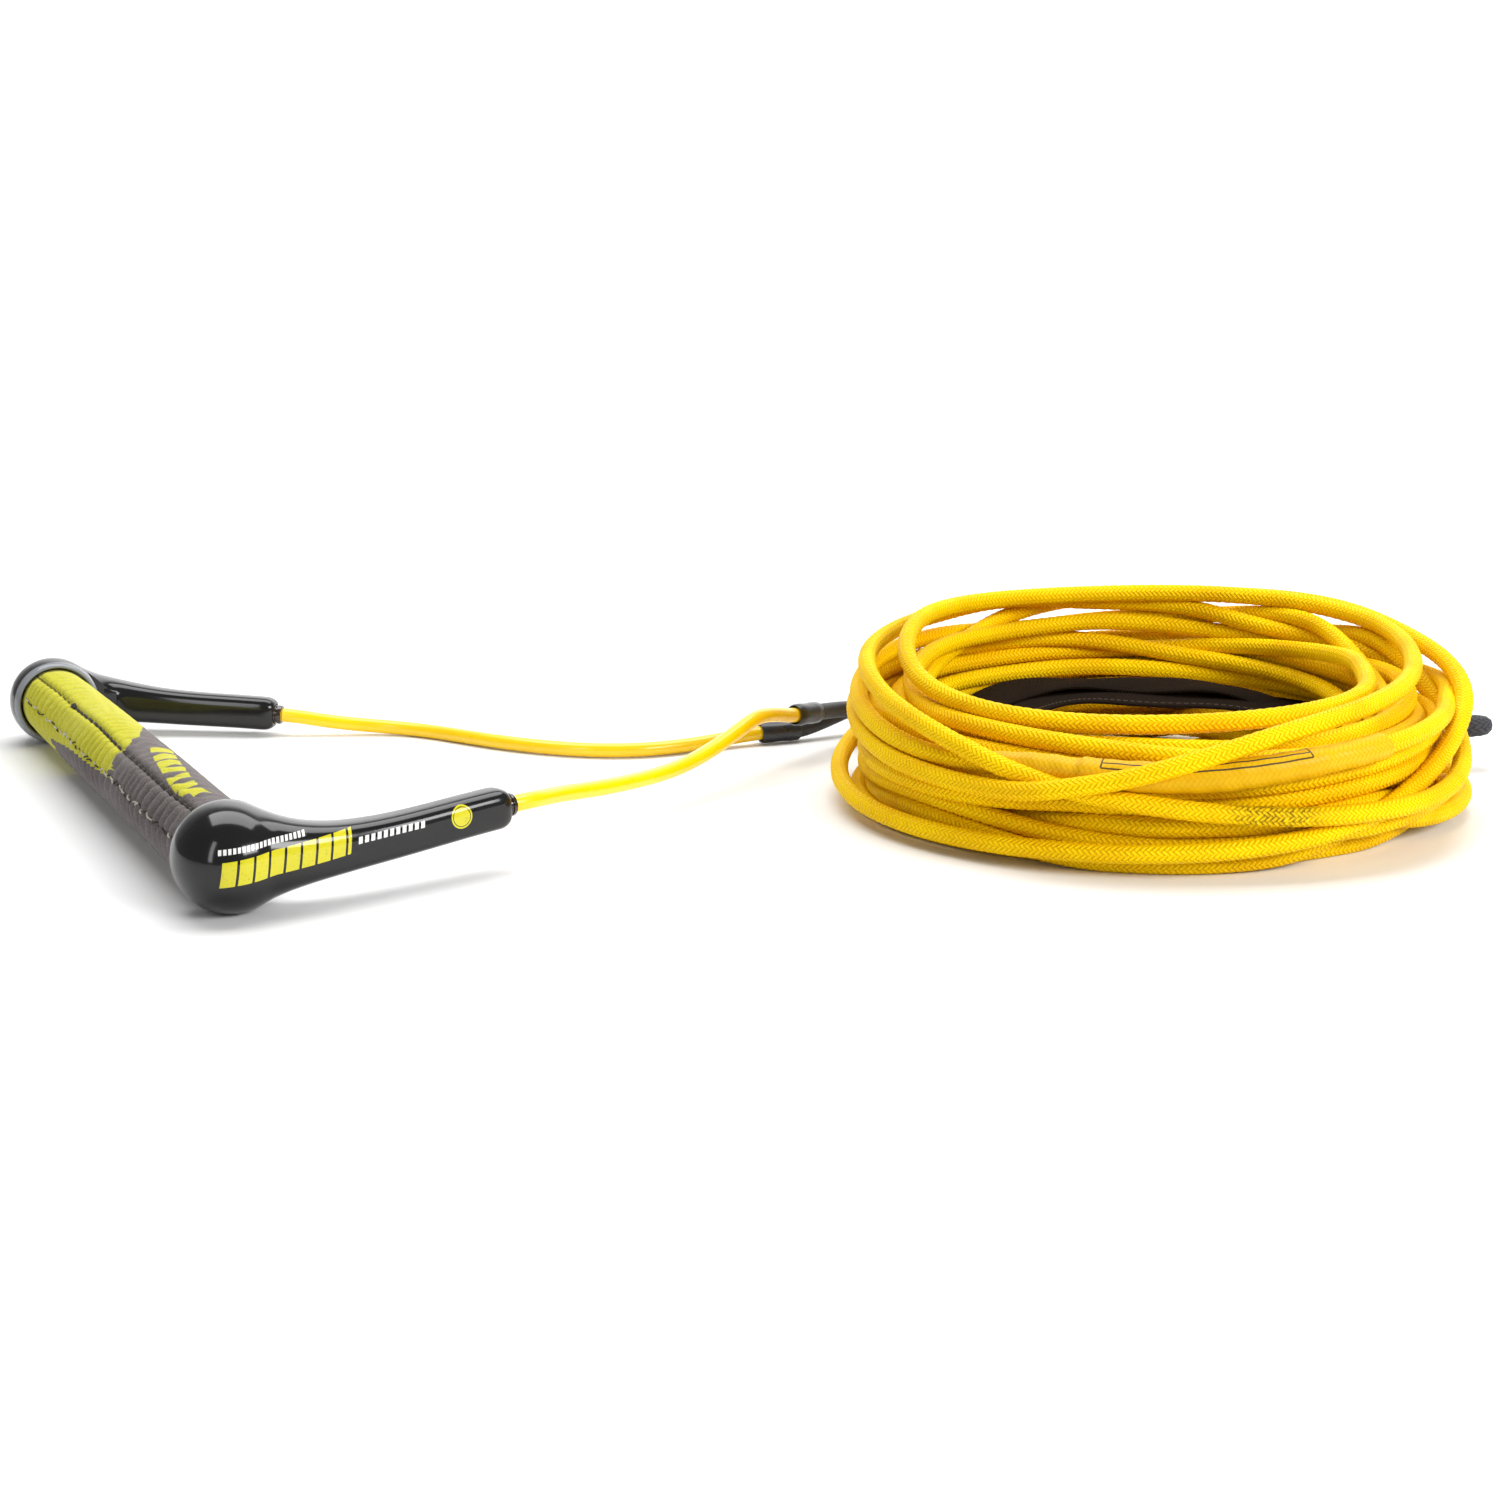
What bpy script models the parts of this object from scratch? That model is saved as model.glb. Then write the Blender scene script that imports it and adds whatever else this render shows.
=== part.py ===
"""Tow rope handle: a straight grip bar between two moulded end caps, with its rope bridle and coiled mainline.

Metres, +Z up. The bar lies along Y, the cap arms and the ropes lead off towards +X, and the floor is z = 0.
The origin is under the middle of the handle's box. "left" is the handle's -Y end and "right" its +Y end.
"""

import math

import bmesh
import bpy
import numpy as np
from mathutils import Matrix, Vector

# Handle bar and its caps
BULB_SPACING = 0.345  # between the middles of the two cap bulbs
BULB_RADIUS = 0.0213
BAR_HEIGHT = 0.0206  # bar axis above the floor; each bulb has a small moulded flat under it
BAR_X = -0.0483  # bar axis, so that the origin is under the middle of the handle's box
BULB_SECTION_SHIFT = -0.006  # the bulb is fullest this far inward of its middle
BULB_HALF_WIDTH = 0.024
FLANGE_FACE = -0.016  # inner face of the bulb; along the bar, + is outward from the bulb's middle
ARM_LENGTH = 0.1155  # bulb middle to the end of the arm
ARM_HALF_HEIGHT = 0.0083
ARM_HALF_WIDTH = 0.0075
ARM_OFFSET = 0.0035  # arm centre, outward of the bulb's middle
ARM_SAG = 0.0015
TOE_START, TOE_END = 0.014, 0.046  # the arm bends inward between these distances from the bulb
TOE_IN = {"left": math.radians(12), "right": math.radians(33)}
ARM_LIFT = {"left": math.radians(2.3), "right": math.radians(-5.6)}
SIDE = {"left": -1, "right": 1}
GRIP_RECESS_RADIUS, GRIP_RECESS_DEPTH = 0.0176, 0.0045

TUBE_RADIUS, TUBE_WALL = 0.011, 0.002
TUBE_HALF_LENGTH = 0.1645
GUIDE_COLLAR, GUIDE_SPIGOT = 0.003, 0.018
FOAM_RADIUS, COVER_RADIUS = 0.0154, 0.0168
GRIP_HALF_LENGTH = 0.1608
FIT_GAP = 0.0003

# Ropes
BRIDLE_RADIUS = 0.0035
MAINLINE_RADIUS = 0.004
LOOP_RADIUS = 0.004
CHANNEL_RADIUS = 0.0042
ROPE_BEND_RADIUS = 0.009
RELIEF_RADIUS, RELIEF_LENGTH, RELIEF_INSET = 0.0048, 0.0075, 0.004
SLEEVE_BORE, SLEEVE_RADIUS, SLEEVE_LENGTH = 0.0045, 0.0053, 0.021

# Where the bridle's black loop links with the eye of the mainline
LINK_Y = -0.016
LINK_Z = 0.015
LIFT_AXIS_X = 0.3270  # middle of the bridle loop's turn: the handle lifts about it
EYE_X, EYE_HALF_LENGTH, EYE_HALF_HEIGHT = 0.3325, 0.0185, 0.0105
SWING_AXIS_X = 0.3713  # where the eye's throat meets the mainline

# Coil of mainline, its boat end, the printed sleeve on its front strand, and the strap that keeps it
COIL_X, COIL_Y = 0.3695, -0.1778
COIL_PROFILE = [
    (0.083, 0.0),
    (0.133, 0.0),
    (0.142, 0.008),
    (0.145, 0.022),
    (0.144, 0.042),
    (0.137, 0.060),
    (0.123, 0.071),
    (0.100, 0.072),
    (0.086, 0.060),
    (0.078, 0.040),
    (0.076, 0.014),
]
SLEEVE_RING_RADIUS, SPLICE_SLEEVE_RADIUS = 0.140, 0.0062
SLEEVE_START, SLEEVE_END = math.radians(203), math.radians(275)
SLEEVE_START_HEIGHT, SLEEVE_END_HEIGHT = 0.038, 0.048
BOAT_LOOP_RADIUS = 0.0046
BOAT_LOOP_MIDDLE = (0.5358, -0.1691, 0.0135)
BOAT_LOOP_HEADING = math.radians(93)
BOAT_LOOP_HALF_LENGTH, BOAT_LOOP_HALF_WIDTH, BOAT_LOOP_TILT = 0.042, 0.0135, math.radians(-10)
STRAP_WIDTH, STRAP_THICKNESS = 0.044, 0.0025

LEFT_LEG_ROUTE = [
    (0.0693, -0.1574, 0.0253),
    (0.0764, -0.1557, 0.0255),
    (0.0840, -0.1512, 0.0248),
    (0.0947, -0.1434, 0.0233),
    (0.1186, -0.1296, 0.0203),
    (0.1437, -0.1152, 0.0181),
    (0.1702, -0.1000, 0.0177),
    (0.1982, -0.0840, 0.0219),
    (0.2127, -0.0756, 0.0256),
    (0.2276, -0.0671, 0.0287),
    (0.2390, -0.0606, 0.0276),
    (0.2546, -0.0516, 0.0242),
    (0.26377, -0.04637, 0.02312),
]
RIGHT_LEG_ROUTE = [
    (0.0570, 0.1270, 0.0103),
    (0.0633, 0.1229, 0.0096),
    (0.0750, 0.1168, 0.0076),
    (0.0907, 0.1095, 0.0054),
    (0.1082, 0.0986, 0.0040),
    (0.1353, 0.0564, 0.0038),
    (0.1622, 0.0180, 0.0038),
    (0.1777, 0.0049, 0.0038),
    (0.1953, -0.0031, 0.0038),
    (0.2160, -0.0052, 0.0038),
    (0.2370, -0.0042, 0.0044),
    (0.2612, -0.0043, 0.0057),
    (0.27145, -0.00529, 0.0057),
]
BRIDLE_LOOP_ROUTE = [
    (0.26403, -0.04623, 0.02308),
    (0.2732, -0.0409, 0.0219),
    (0.2860, -0.0335, 0.0203),
    (0.2970, -0.0287, 0.0190),
    (0.3070, -0.0267, 0.0178),
    (0.3165, -0.0265, 0.0168),
    (0.3239, -0.0234, 0.0161),
    (0.3270, -0.0160, 0.0156),
    (0.3239, -0.0086, 0.0150),
    (0.3165, -0.0055, 0.0140),
    (0.3060, -0.0053, 0.0114),
    (0.2940, -0.0062, 0.0082),
    (0.2820, -0.0063, 0.0058),
    (0.27175, -0.00531, 0.0057),
]
MAINLINE_LEAD_ROUTE = [
    (0.3722, -0.0160, 0.0150),
    (0.3860, -0.0166, 0.0146),
    (0.4000, -0.0192, 0.0140),
    (0.4125, -0.0258, 0.0135),
    (0.4192, -0.0335, 0.0132),
    (0.4215, -0.0408, 0.0130),
]
BOAT_END_ROUTE = [
    (0.5331, -0.1178, 0.0060),
    (0.5318, -0.1040, 0.0060),
    (0.5240, -0.0930, 0.0060),
    (0.5140, -0.0893, 0.0060),
    (0.5040, -0.0912, 0.0062),
    (0.4931, -0.0975, 0.0064),
]
STRAP_ROUTE = [
    (0.3180, -0.1180, 0.0300),
    (0.3450, -0.1080, 0.0330),
    (0.3750, -0.1130, 0.0340),
    (0.4050, -0.1330, 0.0340),
    (0.4370, -0.1550, 0.0320),
    (0.4660, -0.1780, 0.0270),
    (0.4900, -0.2040, 0.0200),
]


def material(name, colour, roughness, metallic=0.0):
    made = bpy.data.materials.new(name)
    made.use_nodes = True
    shader = made.node_tree.nodes["Principled BSDF"]
    shader.inputs["Base Color"].default_value = (*colour, 1.0)
    shader.inputs["Roughness"].default_value = roughness
    shader.inputs["Metallic"].default_value = metallic
    made.diffuse_color = (*colour, 1.0)
    return made


def add_object(name, data, colour, roughness, metallic=0.0):
    made = bpy.data.objects.new(name, data)
    bpy.context.scene.collection.objects.link(made)
    data.materials.append(material(name, colour, roughness, metallic))
    return made


def add_mesh(name, vertices, faces, look):
    mesh = bpy.data.meshes.new(name)
    mesh.from_pydata([tuple(v) for v in vertices], [], faces)
    solid = bmesh.new()
    solid.from_mesh(mesh)
    bmesh.ops.recalc_face_normals(solid, faces=solid.faces)
    solid.to_mesh(mesh)
    solid.free()
    mesh.shade_smooth()
    mesh.set_sharp_from_angle(angle=math.radians(40))
    return add_object(name, mesh, *look)


def hide_cutter(cutter):
    cutter.hide_render = True
    cutter.display_type = "WIRE"
    return cutter


def cut(target, cutter):
    boolean = target.modifiers.new("cut by " + cutter.name, "BOOLEAN")
    boolean.operation = "DIFFERENCE"
    boolean.object = hide_cutter(cutter)


def join(target, other):
    boolean = target.modifiers.new("join " + other.name, "BOOLEAN")
    boolean.operation = "UNION"
    boolean.object = hide_cutter(other)


def smooth_route(route, spacing):
    """Points at about this spacing on the natural cubic spline through the route."""
    route = np.array(route, float)
    step = np.linalg.norm(np.diff(route, axis=0), axis=1)
    at = np.concatenate([[0.0], np.cumsum(step)])
    count = len(route)
    system = np.eye(count)
    slopes = np.zeros_like(route)
    for k in range(1, count - 1):
        system[k, k - 1 : k + 2] = step[k - 1], 2 * (step[k - 1] + step[k]), step[k]
        rise = (route[k + 1] - route[k]) / step[k] - (route[k] - route[k - 1]) / step[k - 1]
        slopes[k] = 6 * rise
    bend = np.linalg.solve(system, slopes)
    points = []
    for t in np.linspace(0, at[-1], max(2, int(round(at[-1] / spacing)) + 1)):
        k = min(int(np.searchsorted(at, t, side="right")) - 1, count - 2)
        h, a, b = step[k], at[k + 1] - t, t - at[k]
        curve = (bend[k] * a**3 + bend[k + 1] * b**3) / (6 * h)
        ends = (route[k] / h - bend[k] * h / 6) * a + (route[k + 1] / h - bend[k + 1] * h / 6) * b
        points.append(tuple(curve + ends))
    return points


def add_tube(name, points, radius, look, sides_level=2):
    """A round rope: a poly curve with a bevel and filled ends."""
    curve = bpy.data.curves.new(name, "CURVE")
    curve.dimensions = "3D"
    curve.bevel_depth = radius
    curve.bevel_resolution = sides_level
    curve.use_fill_caps = True
    spline = curve.splines.new("POLY")
    spline.points.add(len(points) - 1)
    for spot, point in zip(spline.points, points):
        spot.co = (*point, 1.0)
    return add_object(name, curve, *look)


def sweep_ring(name, points, radius, look, sides=10):
    """A closed round loop through the points, as a mesh."""
    points = [Vector(p) for p in points]
    count = len(points)
    normal = (points[count // 4] - points[0]).cross(points[count // 2] - points[0]).normalized()
    vertices, faces = [], []
    for k, point in enumerate(points):
        along = (points[(k + 1) % count] - points[k - 1]).normalized()
        side = along.cross(normal).normalized()
        for j in range(sides):
            a = 2 * math.pi * j / sides
            vertices.append(point + radius * (math.cos(a) * side + math.sin(a) * normal))
        for j in range(sides):
            k2, j2 = (k + 1) % count, (j + 1) % sides
            faces.append((k * sides + j, k2 * sides + j, k2 * sides + j2, k * sides + j2))
    return add_mesh(name, vertices, faces, look)


def add_turned(name, profile, place, look, steps=32):
    """A closed outline of (radius, along) points, turned about the Z axis of place. Radius 0 is on the axis."""
    vertices, faces, rings = [], [], []
    for radius, along in profile:
        if radius == 0:
            rings.append([len(vertices)] * steps)
            vertices.append(place @ Vector((0, 0, along)))
            continue
        rings.append([len(vertices) + j for j in range(steps)])
        for j in range(steps):
            a = 2 * math.pi * j / steps
            vertices.append(place @ Vector((radius * math.cos(a), radius * math.sin(a), along)))
    for k in range(len(rings)):
        near, far = rings[k], rings[(k + 1) % len(rings)]
        for j in range(steps):
            j2 = (j + 1) % steps
            face = dict.fromkeys((near[j], near[j2], far[j2], far[j]))
            if len(face) > 2:
                faces.append(tuple(face))
    return add_mesh(name, vertices, faces, look)


def facing(point, direction):
    """A frame at point with its Z axis along direction."""
    turn = Vector(direction).to_track_quat("Z", "Y").to_matrix().to_4x4()
    return Matrix.Translation(Vector(point)) @ turn


def along_bar(side):
    """The bar's frame: Z runs outward towards this end, from the middle of the handle."""
    return facing((BAR_X, 0, BAR_HEIGHT), (0, side, 0))


def smoothstep(low, high, value):
    t = min(1.0, max(0.0, (value - low) / (high - low)))
    return t * t * (3 - 2 * t)


def arm_drop(s):
    return -ARM_SAG * math.sin(math.pi * min(max(s / ARM_LENGTH, 0.0), 1.0)) ** 2


def arm_spot(end, s, across, up):
    """World place of a spot on an end cap: s along the arm, across outward of the bulb's middle, and up."""
    toe, lift = TOE_IN[end], ARM_LIFT[end]
    forward, inward, turn = min(s, TOE_START), 0.0, 0.0
    steps = max(0, math.ceil((s - TOE_START) / 0.001))
    for k in range(steps):
        length = (s - TOE_START) / steps
        turn = toe * smoothstep(TOE_START, TOE_END, TOE_START + (k + 0.5) * length)
        forward += length * math.cos(turn)
        inward += length * math.sin(turn)
    if steps:
        turn = toe * smoothstep(TOE_START, TOE_END, s)
    x = forward + (across - ARM_OFFSET) * math.sin(turn)
    outward = ARM_OFFSET - inward + (across - ARM_OFFSET) * math.cos(turn)
    return Vector(
        (
            BAR_X + x * math.cos(lift) - up * math.sin(lift),
            SIDE[end] * (BULB_SPACING / 2 + outward),
            BAR_HEIGHT + x * math.sin(lift) + up * math.cos(lift),
        )
    )


def cap_section(s):
    """Half height, half width and outward shift of the end cap at s: a ball that flows into a slim arm."""
    shoulder = 0.011
    ball = math.sqrt(1 - min(s, shoulder) ** 2 / BULB_RADIUS**2)
    half_height, half_width, shift = BULB_RADIUS * ball, BULB_HALF_WIDTH * ball, BULB_SECTION_SHIFT
    if s > shoulder:
        fade = math.exp(-(s - shoulder) / 0.0165)
        half_height = ARM_HALF_HEIGHT + (half_height - ARM_HALF_HEIGHT) * fade
        half_width = ARM_HALF_WIDTH + (half_width - ARM_HALF_WIDTH) * fade
        shift = ARM_OFFSET + (shift - ARM_OFFSET) * math.exp(-(s - shoulder) / 0.012)
    rounding = max(0.0, (s - (ARM_LENGTH - 0.006)) / 0.006)
    tip = 0.6 + 0.4 * math.sqrt(max(0.0, 1 - rounding**2))
    return half_height * tip, half_width * tip, shift


def cap_stations():
    ball = [-BULB_RADIUS * math.cos(math.radians(a)) for a in range(6, 120, 10)]
    arm = [0.0155 + 0.008 * k for k in range(12)]
    tip = [ARM_LENGTH - 0.006 * d for d in (0.6, 0.3, 0.1, 0.0)]
    return ball + arm + tip


def add_cap_body(end, look, around=24):
    vertices, faces = [], []
    stations = cap_stations()
    for s in stations:
        half_height, half_width, shift = cap_section(s)
        power = 2 / (2.1 + 0.9 * smoothstep(0.0, 0.05, s))
        for j in range(around):
            a = 2 * math.pi * j / around
            c, d = math.cos(a), math.sin(a)
            across = shift + half_width * math.copysign(abs(c) ** power, c)
            up = arm_drop(s) + half_height * math.copysign(abs(d) ** power, d)
            vertices.append(arm_spot(end, s, across, up))
    for k in range(len(stations) - 1):
        for j in range(around):
            j2 = (j + 1) % around
            faces.append((k * around + j, k * around + j2, (k + 1) * around + j2, (k + 1) * around + j))
    faces.append(tuple(range(around)))
    faces.append(tuple(range((len(stations) - 1) * around, len(stations) * around)))
    return add_mesh("end_cap_" + end, vertices, faces, look)


def rope_in_cap(end):
    """The rope's way out of the bar: a quarter turn, then along the middle of the arm to its strain relief."""
    start = ARM_OFFSET - ROPE_BEND_RADIUS
    spots = [arm_spot(end, 0, start - 0.003, 0)]
    for k in range(7):
        a = math.radians(15 * k)
        s = ROPE_BEND_RADIUS * (1 - math.cos(a))
        spots.append(arm_spot(end, s, start + ROPE_BEND_RADIUS * math.sin(a), arm_drop(s)))
    out_at = ARM_LENGTH + RELIEF_LENGTH - RELIEF_INSET
    count = 13
    for k in range(1, count + 1):
        s = ROPE_BEND_RADIUS + (out_at - ROPE_BEND_RADIUS) * k / count
        spots.append(arm_spot(end, s, ARM_OFFSET, arm_drop(s)))
    return spots


def add_end_cap(end):
    look = ((0.012, 0.012, 0.013), 0.12)
    cap = add_cap_body(end, look)
    middle = BULB_SPACING / 2
    socket_profile = [
        (0, middle - 0.040),
        (0.025, middle - 0.040),
        (0.025, middle + FLANGE_FACE),
        (GRIP_RECESS_RADIUS, middle + FLANGE_FACE),
        (GRIP_RECESS_RADIUS, middle + FLANGE_FACE + GRIP_RECESS_DEPTH),
        (TUBE_RADIUS + FIT_GAP, middle + FLANGE_FACE + GRIP_RECESS_DEPTH),
        (TUBE_RADIUS + FIT_GAP, TUBE_HALF_LENGTH + 2 * FIT_GAP + GUIDE_COLLAR),
        (0, TUBE_HALF_LENGTH + 2 * FIT_GAP + GUIDE_COLLAR),
    ]
    cut(cap, add_turned("cut_socket_" + end, socket_profile, along_bar(SIDE[end]), look, 28))
    rope = rope_in_cap(end)
    beyond = rope[-1] + (rope[-1] - rope[-2])
    cut(cap, swept_cutter("cut_channel_" + end, [*rope, beyond], CHANNEL_RADIUS, look))
    seat = [arm_spot(end, ARM_LENGTH + d, ARM_OFFSET, 0) for d in (-RELIEF_INSET, RELIEF_INSET)]
    cut(cap, swept_cutter("cut_relief_seat_" + end, seat, RELIEF_RADIUS + FIT_GAP, look, 24))
    cut(cap, floor_cutter("cut_floor_" + end, end, look))
    return cap


def swept_cutter(name, points, radius, look, sides=12):
    vertices, faces = [], []
    for k, point in enumerate(points):
        along = (points[min(k + 1, len(points) - 1)] - points[max(k - 1, 0)]).normalized()
        side = along.cross(Vector((0, 0, 1))).normalized()
        rise = side.cross(along)
        for j in range(sides):
            a = 2 * math.pi * j / sides
            vertices.append(point + radius * (math.cos(a) * side + math.sin(a) * rise))
        if k:
            for j in range(sides):
                j2 = (j + 1) % sides
                faces.append(((k - 1) * sides + j, (k - 1) * sides + j2, k * sides + j2, k * sides + j))
    faces.append(tuple(range(sides)))
    faces.append(tuple(range((len(points) - 1) * sides, len(points) * sides)))
    return add_mesh(name, vertices, faces, look)


def floor_cutter(name, end, look):
    """A block whose top is the floor, under the bulb."""
    x, y, half = BAR_X, SIDE[end] * BULB_SPACING / 2, 0.03
    profile = [(0, -half), (half, -half), (half, 0), (0, 0)]
    return add_turned(name, profile, Matrix.Translation((x, y, 0)), look, 24)


def add_strain_relief(end):
    back = arm_spot(end, ARM_LENGTH - 0.002, ARM_OFFSET, 0)
    front = arm_spot(end, ARM_LENGTH, ARM_OFFSET, 0)
    along = (front - back).normalized()
    inner = BRIDLE_RADIUS + FIT_GAP
    start, face = FIT_GAP - RELIEF_INSET, RELIEF_LENGTH - RELIEF_INSET
    profile = [
        (inner, start),
        (RELIEF_RADIUS, start),
        (RELIEF_RADIUS, 0.0012),
        (RELIEF_RADIUS - 0.0004, face),
        (inner, face),
    ]
    look = ((0.05, 0.025, 0.012), 0.2)
    return add_turned("strain_relief_" + end, profile, facing(front, along), look, 24)


def add_bar():
    aluminium = ((0.62, 0.63, 0.65), 0.32, 1.0)
    nylon = ((0.75, 0.74, 0.7), 0.4)
    bore = TUBE_RADIUS - TUBE_WALL
    axis = along_bar(1)
    tube = [
        (bore, -TUBE_HALF_LENGTH),
        (TUBE_RADIUS, -TUBE_HALF_LENGTH),
        (TUBE_RADIUS, TUBE_HALF_LENGTH),
        (bore, TUBE_HALF_LENGTH),
    ]
    parts = [add_turned("bar_tube", tube, axis, aluminium)]
    hole, plug = CHANNEL_RADIUS, bore - FIT_GAP
    spigot_end = TUBE_HALF_LENGTH - GUIDE_SPIGOT
    collar_start = TUBE_HALF_LENGTH + FIT_GAP
    collar_end = collar_start + GUIDE_COLLAR
    guide = [
        (hole, spigot_end),
        (plug, spigot_end),
        (plug, collar_start),
        (TUBE_RADIUS - FIT_GAP, collar_start),
        (TUBE_RADIUS - FIT_GAP, collar_end),
        (hole + 0.0032, collar_end),
        (hole + 0.0008, collar_end - 0.0014),
        (hole, collar_end - 0.004),
    ]
    for end, side in SIDE.items():
        parts.append(add_turned("rope_guide_" + end, guide, along_bar(side), nylon, 24))
    core_end = spigot_end - FIT_GAP
    core = [(hole, -core_end), (plug, -core_end), (plug, core_end), (hole, core_end)]
    parts.append(add_turned("float_core", core, axis, ((0.85, 0.84, 0.8), 0.9), 24))
    return parts


def add_grip():
    axis = along_bar(1)
    foam_bore = TUBE_RADIUS + FIT_GAP
    half = GRIP_HALF_LENGTH
    foam = [(foam_bore, -half), (FOAM_RADIUS, -half), (FOAM_RADIUS, half), (foam_bore, half)]
    cover_bore = FOAM_RADIUS + FIT_GAP
    cover = [
        (cover_bore, -half),
        (COVER_RADIUS - 0.0006, -half),
        (COVER_RADIUS, -half + 0.002),
        (COVER_RADIUS, half - 0.002),
        (COVER_RADIUS - 0.0006, half),
        (cover_bore, half),
    ]
    return [
        add_turned("grip_foam", foam, axis, ((0.05, 0.05, 0.055), 0.85), 36),
        add_turned("grip_cover", cover, axis, ((0.13, 0.11, 0.11), 0.9), 36),
    ]


def add_bar_rope():
    """One rope through the whole bar, from the face of one strain relief to the other's."""
    inner = [
        Vector((BAR_X, side, BAR_HEIGHT))
        for side in np.linspace(-0.15, 0.15, 9)
    ]
    points = [*reversed(rope_in_cap("left")), *inner, *rope_in_cap("right")]
    return add_tube("bar_rope", [tuple(p) for p in points], BRIDLE_RADIUS, ((0.95, 0.68, 0.0), 0.35))


def add_apex_sleeve(end, start, stop):
    along = (Vector(stop) - Vector(start)).normalized()
    middle = (Vector(stop) + Vector(start)) / 2
    inner, outer, half = SLEEVE_BORE, SLEEVE_RADIUS, SLEEVE_LENGTH / 2
    profile = [(inner, -half), (outer - 0.0003, -half), (outer, 0.0), (outer - 0.0003, half), (inner, half)]
    name = "apex_sleeve_" + end
    return add_turned(name, profile, facing(middle, along), ((0.02, 0.02, 0.022), 0.3), 20)


def add_bridle():
    yellow = ((0.95, 0.68, 0.0), 0.25)
    black = ((0.02, 0.02, 0.022), 0.45)
    parts = [
        add_tube("bridle_leg_left", smooth_route(LEFT_LEG_ROUTE, 0.008), BRIDLE_RADIUS, yellow),
        add_tube("bridle_leg_right", smooth_route(RIGHT_LEG_ROUTE, 0.008), BRIDLE_RADIUS, yellow),
        add_tube("bridle_loop", smooth_route(BRIDLE_LOOP_ROUTE, 0.005), LOOP_RADIUS, black),
    ]
    parts.append(add_apex_sleeve("left", LEFT_LEG_ROUTE[-2], BRIDLE_LOOP_ROUTE[1]))
    parts.append(add_apex_sleeve("right", RIGHT_LEG_ROUTE[-2], BRIDLE_LOOP_ROUTE[-2]))
    return parts


def oval(middle, half_length, half_height, long_axis, short_axis, count=28):
    middle, long_axis, short_axis = Vector(middle), Vector(long_axis), Vector(short_axis)
    points = []
    for k in range(count):
        a = 2 * math.pi * k / count
        points.append(middle + half_length * math.cos(a) * long_axis + half_height * math.sin(a) * short_axis)
    return points


def add_mainline_eye():
    yellow = ((0.95, 0.66, 0.0), 0.5)
    middle = (EYE_X, LINK_Y, LINK_Z)
    loop = oval(middle, EYE_HALF_LENGTH, EYE_HALF_HEIGHT, (1, 0, 0), (0, 0, 1))
    eye = sweep_ring("mainline_eye", loop, MAINLINE_RADIUS, yellow)
    throat_length = SWING_AXIS_X - (EYE_X + EYE_HALF_LENGTH)
    throat = [
        (0, -0.001),
        (MAINLINE_RADIUS * 1.15, -0.001),
        (MAINLINE_RADIUS * 1.25, 0.006),
        (MAINLINE_RADIUS, throat_length - 0.0045),
        (MAINLINE_RADIUS * 0.75, throat_length - 0.0015),
        (MAINLINE_RADIUS * 0.3, throat_length),
        (0, throat_length),
    ]
    start = facing((EYE_X + EYE_HALF_LENGTH, LINK_Y, LINK_Z), (1, 0, 0))
    join(eye, add_turned("join_eye_throat", throat, start, yellow, 16))
    return eye


def add_boat_loop():
    grey = ((0.09, 0.09, 0.1), 0.6)
    heading = Vector((math.cos(BOAT_LOOP_HEADING), math.sin(BOAT_LOOP_HEADING), 0))
    outward = Vector((heading.y, -heading.x, 0))
    long_axis = heading * math.cos(BOAT_LOOP_TILT) + Vector((0, 0, math.sin(BOAT_LOOP_TILT)))
    loop = oval(BOAT_LOOP_MIDDLE, BOAT_LOOP_HALF_LENGTH, BOAT_LOOP_HALF_WIDTH, long_axis, outward)
    boat_loop = sweep_ring("boat_loop", loop, BOAT_LOOP_RADIUS, grey)
    throat = [(0, -0.001), (0.0056, -0.001), (0.0056, 0.004), (0.0046, 0.0085), (0, 0.0085)]
    start = facing(loop[0], long_axis)
    join(boat_loop, add_turned("join_boat_throat", throat, start, grey, 16))
    return boat_loop


def band(name, route, width, thickness, look):
    """A flat strip of this width and thickness that follows the route."""
    points = [Vector(p) for p in smooth_route(route, 0.012)]
    vertices, faces = [], []
    for k, point in enumerate(points):
        along = (points[min(k + 1, len(points) - 1)] - points[max(k - 1, 0)]).normalized()
        side = along.cross(Vector((0, 0, 1))).normalized()
        rise = side.cross(along)
        for a, b in ((-1, -1), (1, -1), (1, 1), (-1, 1)):
            vertices.append(point + side * (a * width / 2) + rise * (b * thickness / 2))
        if k:
            for j in range(4):
                j2 = (j + 1) % 4
                faces.append((4 * k - 4 + j, 4 * k - 4 + j2, 4 * k + j2, 4 * k + j))
    faces.append((0, 1, 2, 3))
    last = 4 * (len(points) - 1)
    faces.append((last, last + 1, last + 2, last + 3))
    return add_mesh(name, vertices, faces, look)


def coil_arc(start, stop, count):
    """Points round the coil's front, climbing as the printed sleeve does."""
    points = []
    for a in np.linspace(start, stop, count):
        x = COIL_X + SLEEVE_RING_RADIUS * math.cos(a)
        y = COIL_Y + SLEEVE_RING_RADIUS * math.sin(a)
        climb = (a - SLEEVE_START) / (SLEEVE_END - SLEEVE_START)
        z = SLEEVE_START_HEIGHT + (SLEEVE_END_HEIGHT - SLEEVE_START_HEIGHT) * climb
        points.append(Vector((x, y, z)))
    return points


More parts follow.
